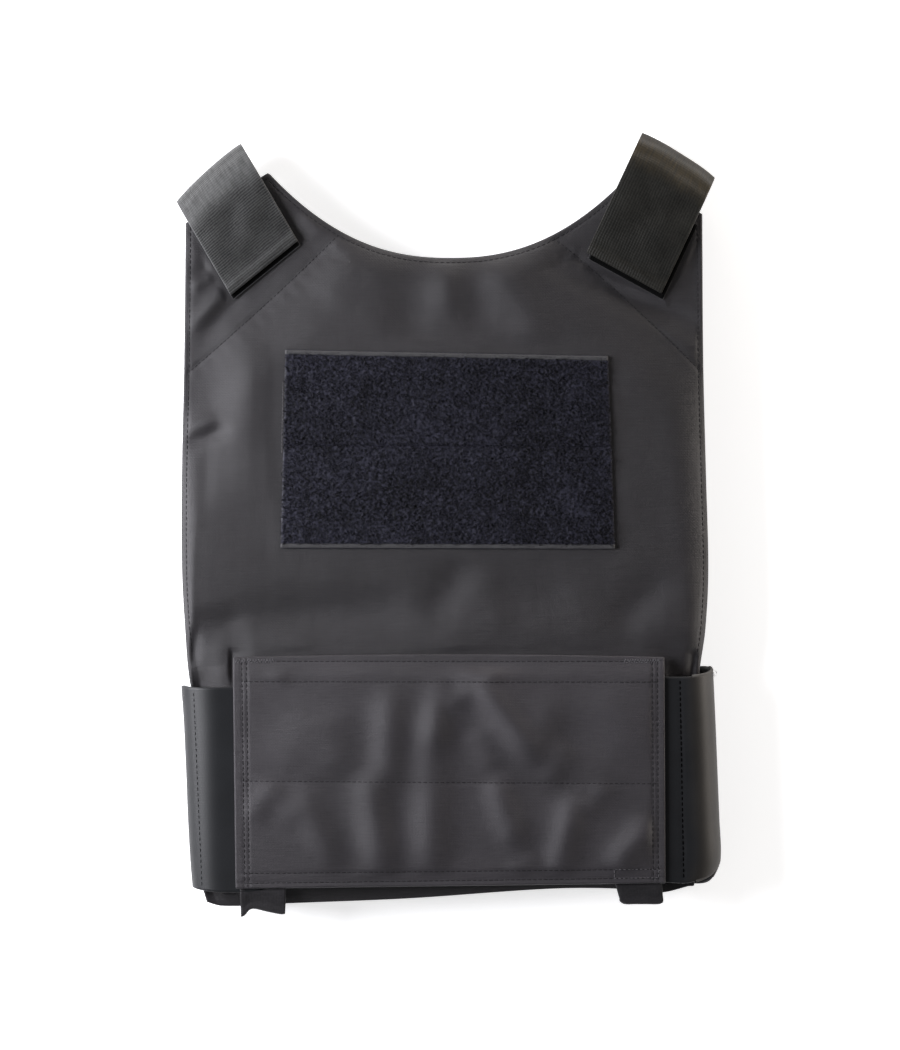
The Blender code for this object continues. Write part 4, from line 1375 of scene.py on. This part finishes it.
class Finish:
    """Material with one principled shader, and short calls for the nodes that shape it."""

    def __init__(self, name, colour, roughness, gloss=0.5, sheen=0.0, space="Object"):
        self.made = bpy.data.materials.new(name)
        self.made.use_nodes = True
        self.tree = self.made.node_tree
        self.shader = self.tree.nodes["Principled BSDF"]
        self.shader.inputs["Base Color"].default_value = (*colour, 1.0)
        self.shader.inputs["Roughness"].default_value = roughness
        self.shader.inputs["Specular IOR Level"].default_value = gloss
        self.shader.inputs["Sheen Weight"].default_value = sheen
        self.place = self.tree.nodes.new("ShaderNodeTexCoord").outputs[space]
        split = self.tree.nodes.new("ShaderNodeSeparateXYZ")
        self.tree.links.new(self.place, split.inputs[0])
        self.x, self.y, _ = split.outputs

    def math(self, operation, *values):
        """Math node on sockets or numbers."""
        node = self.tree.nodes.new("ShaderNodeMath")
        node.operation = operation
        for socket, value in zip(node.inputs, values):
            if isinstance(value, (int, float)):
                socket.default_value = value
            else:
                self.tree.links.new(value, socket)
        return node.outputs[0]

    def plus(self, first, *others):
        for other in others:
            first = self.math("ADD", first, other)
        return first

    def minus(self, first, second):
        return self.math("SUBTRACT", first, second)

    def times(self, first, second):
        return self.math("MULTIPLY", first, second)

    def wave(self, value, pitch):
        """Sine of a length in metres, one turn each pitch in millimetres."""
        return self.math("SINE", self.times(value, 2.0 * math.pi / (pitch * MM)))

    def noise(self, scale, detail=3.0, place=None):
        node = self.tree.nodes.new("ShaderNodeTexNoise")
        node.inputs["Scale"].default_value = scale
        node.inputs["Detail"].default_value = detail
        self.tree.links.new(place or self.place, node.inputs["Vector"])
        return node.outputs["Fac"]

    def slub(self, stretch):
        """Uneven yarns: noise drawn out along one direction."""
        mapping = self.tree.nodes.new("ShaderNodeMapping")
        mapping.inputs["Scale"].default_value = stretch
        self.tree.links.new(self.place, mapping.inputs["Vector"])
        return self.noise(1.0, 2.0, mapping.outputs[0])

    def rise(self, value, start, end):
        """0 below the start, 1 above the end."""
        node = self.tree.nodes.new("ShaderNodeMapRange")
        node.interpolation_type = "SMOOTHSTEP"
        node.inputs["From Min"].default_value = start
        node.inputs["From Max"].default_value = end
        self.tree.links.new(value, node.inputs["Value"])
        return node.outputs["Result"]

    def between(self, factor, dark, light):
        return colour_between(self.tree, factor, dark, light)

    def blend(self, mask, first, second):
        """First colour where the mask is 0, second where it is 1."""
        node = self.tree.nodes.new("ShaderNodeMix")
        node.data_type = "RGBA"
        self.tree.links.new(mask, node.inputs["Factor"])
        self.tree.links.new(first, node.inputs["A"])
        self.tree.links.new(second, node.inputs["B"])
        return node.outputs["Result"]

    def colour(self, socket):
        self.tree.links.new(socket, self.shader.inputs["Base Color"])

    def bump(self, height, distance, strength=1.0):
        """Relief from a height, its distance in millimetres."""
        node = self.tree.nodes.new("ShaderNodeBump")
        node.inputs["Distance"].default_value = distance * MM
        node.inputs["Strength"].default_value = strength
        self.tree.links.new(height, node.inputs["Height"])
        self.tree.links.new(node.outputs["Normal"], self.shader.inputs["Normal"])


def cover_cloth(name, dark, light):
    """Charcoal plain-weave nylon: crossed threads, faint streaks and rubbed patches."""
    cloth = Finish(name, light, 0.50, gloss=0.4, sheen=0.04)
    wander = cloth.times(cloth.noise(60.0), 0.0011)
    warp = cloth.wave(cloth.plus(cloth.x, wander), 0.9)
    weft = cloth.wave(cloth.plus(cloth.y, wander), 0.9)
    weave = cloth.times(warp, weft)
    across = cloth.slub((90.0, 1300.0, 90.0))
    along = cloth.times(cloth.slub((1300.0, 90.0, 90.0)), 0.4)
    slubs = cloth.plus(across, along)
    mixed = cloth.plus(cloth.times(weave, 0.16), cloth.noise(11.0, 4.0), cloth.times(slubs, 0.6))
    cloth.colour(cloth.between(cloth.minus(mixed, 0.42), dark, light))
    cloth.bump(cloth.plus(weave, cloth.times(slubs, 1.5)), 0.060)
    return cloth.made


def band_elastic():
    """Dark woven elastic with fine lengthwise ribs, and a paler warm strip round the top of its right bend
    that is a painted highlight.
    """
    band = Finish("band_elastic_finish", (0.030, 0.031, 0.035), 0.50, gloss=0.3, sheen=0.03, space="UV")
    ribs = band.wave(band.y, 1.0)
    weave = band.plus(band.times(ribs, 0.3), band.times(band.noise(900.0, 2.0), 2.0))
    factor = band.minus(band.plus(band.times(weave, 0.12), band.noise(45.0, 6.0)), 0.12)
    plain = band.between(factor, (0.0030, 0.0035, 0.0044), (0.0092, 0.0100, 0.0118))
    # The paler warm colour is a painted highlight for the warm lamp's light on the band's right bend.
    worn = band.between(factor, (0.012, 0.0105, 0.0090), (0.032, 0.028, 0.024))
    uneven = band.plus(band.x, band.times(band.noise(30.0, 2.0), 0.006))
    # Painted highlight: a strip along the girth, round the top of the right bend, takes the paler colour.
    tone_shift = band.minus(band.rise(uneven, 0.462, 0.472), band.rise(uneven, 0.481, 0.496))
    band.colour(band.blend(tone_shift, plain, worn))
    band.bump(weave, 0.02)
    return band.made


# Webbing: ribs and picks are shares of the weave, the fold starts at a run in millimetres,
# and the fold's painted highlight, its drop towards the rim and the paleness of the hem are shares of the
# paler colour
Webbing = namedtuple(
    "Webbing", "name dark light worn ribs picks fold_start fold_wear rim_fade hem_wear gloss"
)
# The two straps' webbings are lit and shaded copies of one webbing: the right strap's darker colour is
# painted shade, and its warm fold colour a painted highlight from the warm lamp.
WEBBINGS = (
    Webbing(
        "webbing_lit_copy", (0.003, 0.0031, 0.0031), (0.043, 0.0435, 0.043), (0.118, 0.119, 0.118),
        ribs=0.35, picks=1.6, fold_start=46.0, fold_wear=0.80, rim_fade=0.30, hem_wear=0.24, gloss=0.3,
    ),
    Webbing(
        "webbing_shaded_copy", (0.0036, 0.0036, 0.0031), (0.0205, 0.0201, 0.0176), (0.055, 0.042, 0.023),
        ribs=1.1, picks=0.5, fold_start=60.0, fold_wear=0.80, rim_fade=0.35, hem_wear=0.06, gloss=0.18,
    ),
    Webbing(
        "webbing_tab", (0.0086, 0.0081, 0.0090), (0.0260, 0.0246, 0.0268), (0.030, 0.029, 0.031),
        ribs=0.25, picks=0.25, fold_start=90.0, fold_wear=0.0, rim_fade=0.0, hem_wear=0.0, gloss=0.3,
    ),
    # Near black, darker than hook tape is, as painted shade for the gap under each strap's end.
    Webbing(
        "hook_tape_and_gap_shade", (0.0008, 0.0008, 0.0008), (0.003, 0.003, 0.003), (0.003, 0.003, 0.003),
        ribs=0.6, picks=0.6, fold_start=90.0, fold_wear=0.0, rim_fade=0.0, hem_wear=0.0, gloss=0.05,
    ),
)
FOLD_HIGHLIGHT_REACH = (4.0, 19.0)
RIM_HIGHLIGHT_DROP_REACH = (19.0, 29.0)
PALE_HEM = 6.6
PALE_EDGE = 25.0


def strap_webbing(kind):
    """Nylon webbing: lengthwise ribs crossed by picks, a painted highlight over its fold, and paler at its
    hem and edges.
    """
    made = Finish(kind.name, kind.light, 0.48, gloss=kind.gloss, space="UV")
    wander = made.times(made.noise(130.0), 0.0016)
    ribs = made.times(made.wave(made.plus(made.x, wander), 1.7), kind.ribs)
    picks = made.times(made.wave(made.plus(made.y, wander), 1.5), kind.picks)
    weave = made.plus(ribs, picks)
    speckle = made.times(made.minus(made.noise(620.0, 2.0), 0.5), 0.9)
    factor = made.plus(made.times(weave, 0.20), made.noise(70.0, 6.0), speckle)
    plain = made.between(factor, kind.dark, kind.light)
    streaks = made.times(made.slub((700.0, 110.0, 1.0)), 1.5)
    worn = made.between(made.minus(streaks, 0.25), kind.light, kind.worn)
    uneven = made.plus(made.y, made.times(made.noise(45.0, 4.0), 0.016))
    # Painted highlight: from the fold's start the strap turns to the paler colour where light falls over
    # the fold, and drops back towards the rim.
    at_fold = made.rise(uneven, *[(kind.fold_start + place) * MM for place in FOLD_HIGHLIGHT_REACH])
    at_rim = made.rise(uneven, *[(kind.fold_start + place) * MM for place in RIM_HIGHLIGHT_DROP_REACH])
    at_hem = made.math("LESS_THAN", made.y, PALE_HEM * MM)
    at_edge = made.math("GREATER_THAN", made.math("ABSOLUTE", made.x), PALE_EDGE * MM)
    hem = made.times(made.math("MAXIMUM", at_hem, at_edge), kind.hem_wear)
    folded = made.minus(made.times(at_fold, kind.fold_wear), made.times(at_rim, kind.rim_fade))
    made.colour(made.blend(made.math("MAXIMUM", folded, hem), plain, worn))
    made.bump(weave, 0.05)
    return made.made


def pile_finish():
    """Blue-black nylon loops."""
    pile = Finish("loop_pile_finish", (0.013, 0.013, 0.020), 0.55, gloss=0.2, sheen=0.02)
    tone_shift = pile.times(pile.noise(28.0), 0.3)
    mixed = pile.plus(pile.minus(pile.noise(720.0), 0.515), tone_shift)
    pile.colour(pile.between(pile.times(mixed, 3.6), (0.0012, 0.0012, 0.0026), (0.024, 0.024, 0.037)))
    return pile.made


def selvage_finish():
    """Bare woven edge of the loop tape."""
    tape = Finish("loop_tape_finish", (0.045, 0.044, 0.048), 0.60)
    weave = tape.times(tape.wave(tape.x, 1.1), tape.wave(tape.y, 0.8))
    factor = tape.plus(tape.times(weave, 0.2), tape.noise(200.0))
    tape.colour(tape.between(factor, (0.016, 0.016, 0.0175), (0.046, 0.045, 0.048)))
    tape.bump(weave, 0.1, 0.6)
    return tape.made


def thread_finish(name, colour, gloss):
    """Sewing thread, mottled by its twist."""
    thread = Finish(name, colour, 0.75, gloss=gloss)
    twist = thread.noise(2500.0, 2.0)
    thread.colour(thread.between(twist, colour, [channel * 1.8 for channel in colour]))
    thread.bump(twist, 0.05, 0.5)
    return thread.made


def floor_finish():
    """Pale paper sweep, lit a little from behind as on a light table."""
    paper = Finish("floor_finish", (0.90, 0.90, 0.90), 0.9, gloss=0.1)
    paper.colour(paper.between(paper.noise(40.0, 2.0), (0.89, 0.89, 0.89), (0.91, 0.91, 0.91)))
    paper.shader.inputs["Emission Color"].default_value = (1.0, 1.0, 1.0, 1.0)
    paper.shader.inputs["Emission Strength"].default_value = 0.66
    return paper.made


def make_floor():
    mesh = bpy.data.meshes.new("floor")
    corners = [(x * FLOOR_REACH, y * FLOOR_REACH, 0.0) for x, y in ((-1, -1), (1, -1), (1, 1), (-1, 1))]
    mesh.from_pydata(corners, [], [(0, 1, 2, 3)])
    mesh.materials.append(floor_finish())
    floor = bpy.data.objects.new("floor", mesh)
    floor.location.z = FLOOR_Z
    bpy.context.collection.objects.link(floor)


def make_camera():
    """Camera straight above, framing the vest as the photograph does."""
    data = bpy.data.cameras.new("camera")
    camera = bpy.data.objects.new("camera", data)
    bpy.context.collection.objects.link(camera)
    centre_y = (PHOTO_CENTRE_Y - PHOTO_SIZE[1] / 2.0) * MM_PER_PIXEL
    camera.location = (SHIFT_X * MM, (SHIFT_Y + centre_y) * MM, CAMERA_HEIGHT)
    frame_height = PHOTO_SIZE[1] * MM_PER_PIXEL * MM
    data.sensor_fit = "VERTICAL"
    data.angle_y = 2.0 * math.atan(frame_height / 2.0 / (CAMERA_HEIGHT - SCALE_PLANE_Z))
    bpy.context.scene.camera = camera


def add_light(light):
    """Rectangular area light, turned to its target."""
    data = bpy.data.lights.new(light.name, "AREA")
    data.shape = "RECTANGLE"
    data.size, data.size_y = light.size
    data.energy = light.power
    data.color = light.colour
    lamp = bpy.data.objects.new(light.name, data)
    lamp.location = light.place
    direction = Vector(light.target) - Vector(light.place)
    lamp.rotation_euler = direction.to_track_quat("-Z", "Y").to_euler()
    bpy.context.collection.objects.link(lamp)


def make_light():
    """The three lights, and a fill that is bright all round and dim overhead."""
    for light in LIGHTS:
        add_light(light)
    world = bpy.data.worlds.new("fill")
    world.use_nodes = True
    tree = world.node_tree
    background = tree.nodes["Background"]
    coordinate = tree.nodes.new("ShaderNodeTexCoord")
    split = tree.nodes.new("ShaderNodeSeparateXYZ")
    tree.links.new(coordinate.outputs["Generated"], split.inputs[0])
    tree.links.new(colour_between(tree, split.outputs[2], HORIZON, ZENITH), background.inputs["Color"])
    background.inputs["Strength"].default_value = 1.0
    bpy.context.scene.world = world
    bpy.context.scene.view_settings.view_transform = "Standard"


def main():
    cloth = cover_cloth("panel_cloth", (0.0051, 0.0045, 0.0053), (0.0188, 0.0166, 0.0193))
    # The flap takes a lighter copy of the panel's cloth: painted light for the extra light that the raised
    # flap catches.
    flap_cloth_lit_copy = cover_cloth("flap_cloth_lit_copy", (0.0100, 0.0089, 0.0104), (0.0350, 0.0312, 0.0362))
    # Lit and shaded copies of one webbing for the two straps: the right strap's darker colour is painted
    # shade.
    left_webbing, right_webbing, tab_webbing, hook = [strap_webbing(kind) for kind in WEBBINGS]
    threads = {name: thread_finish(name, colour, gloss) for name, colour, gloss in THREADS}
    pile = pile_finish()
    make_front_panel(cloth)
    make_back_panel(cloth)
    make_flap(flap_cloth_lit_copy)
    make_band(band_elastic(), threads["overlock"])
    make_loop_tapes(pile, pile, selvage_finish())
    for strap, finish in zip(STRAPS, (left_webbing, right_webbing)):
        make_strap(strap, finish)
        make_strap_pad(strap, hook, threads["tape_edge_and_rim_highlight"])
    for tab in PULL_TABS:
        make_pull_tab(tab, tab_webbing)
    make_panel_stitching(threads["thread_dark"])
    make_flap_stitching(threads["thread_dark"], threads["thread_tack"])
    make_patch_stitching(threads["thread_grey"], threads["thread_pale"])
    # The band's stitches are near black: black thread, and partly painted shade of the stitch holes.
    make_band_stitching(threads["thread_black_and_hole_shade"])
    make_strap_stitching(threads["thread_dark"])
    make_loose_threads("loose_threads", threads["lint"])
    make_floor()
    make_camera()
    make_light()


main()
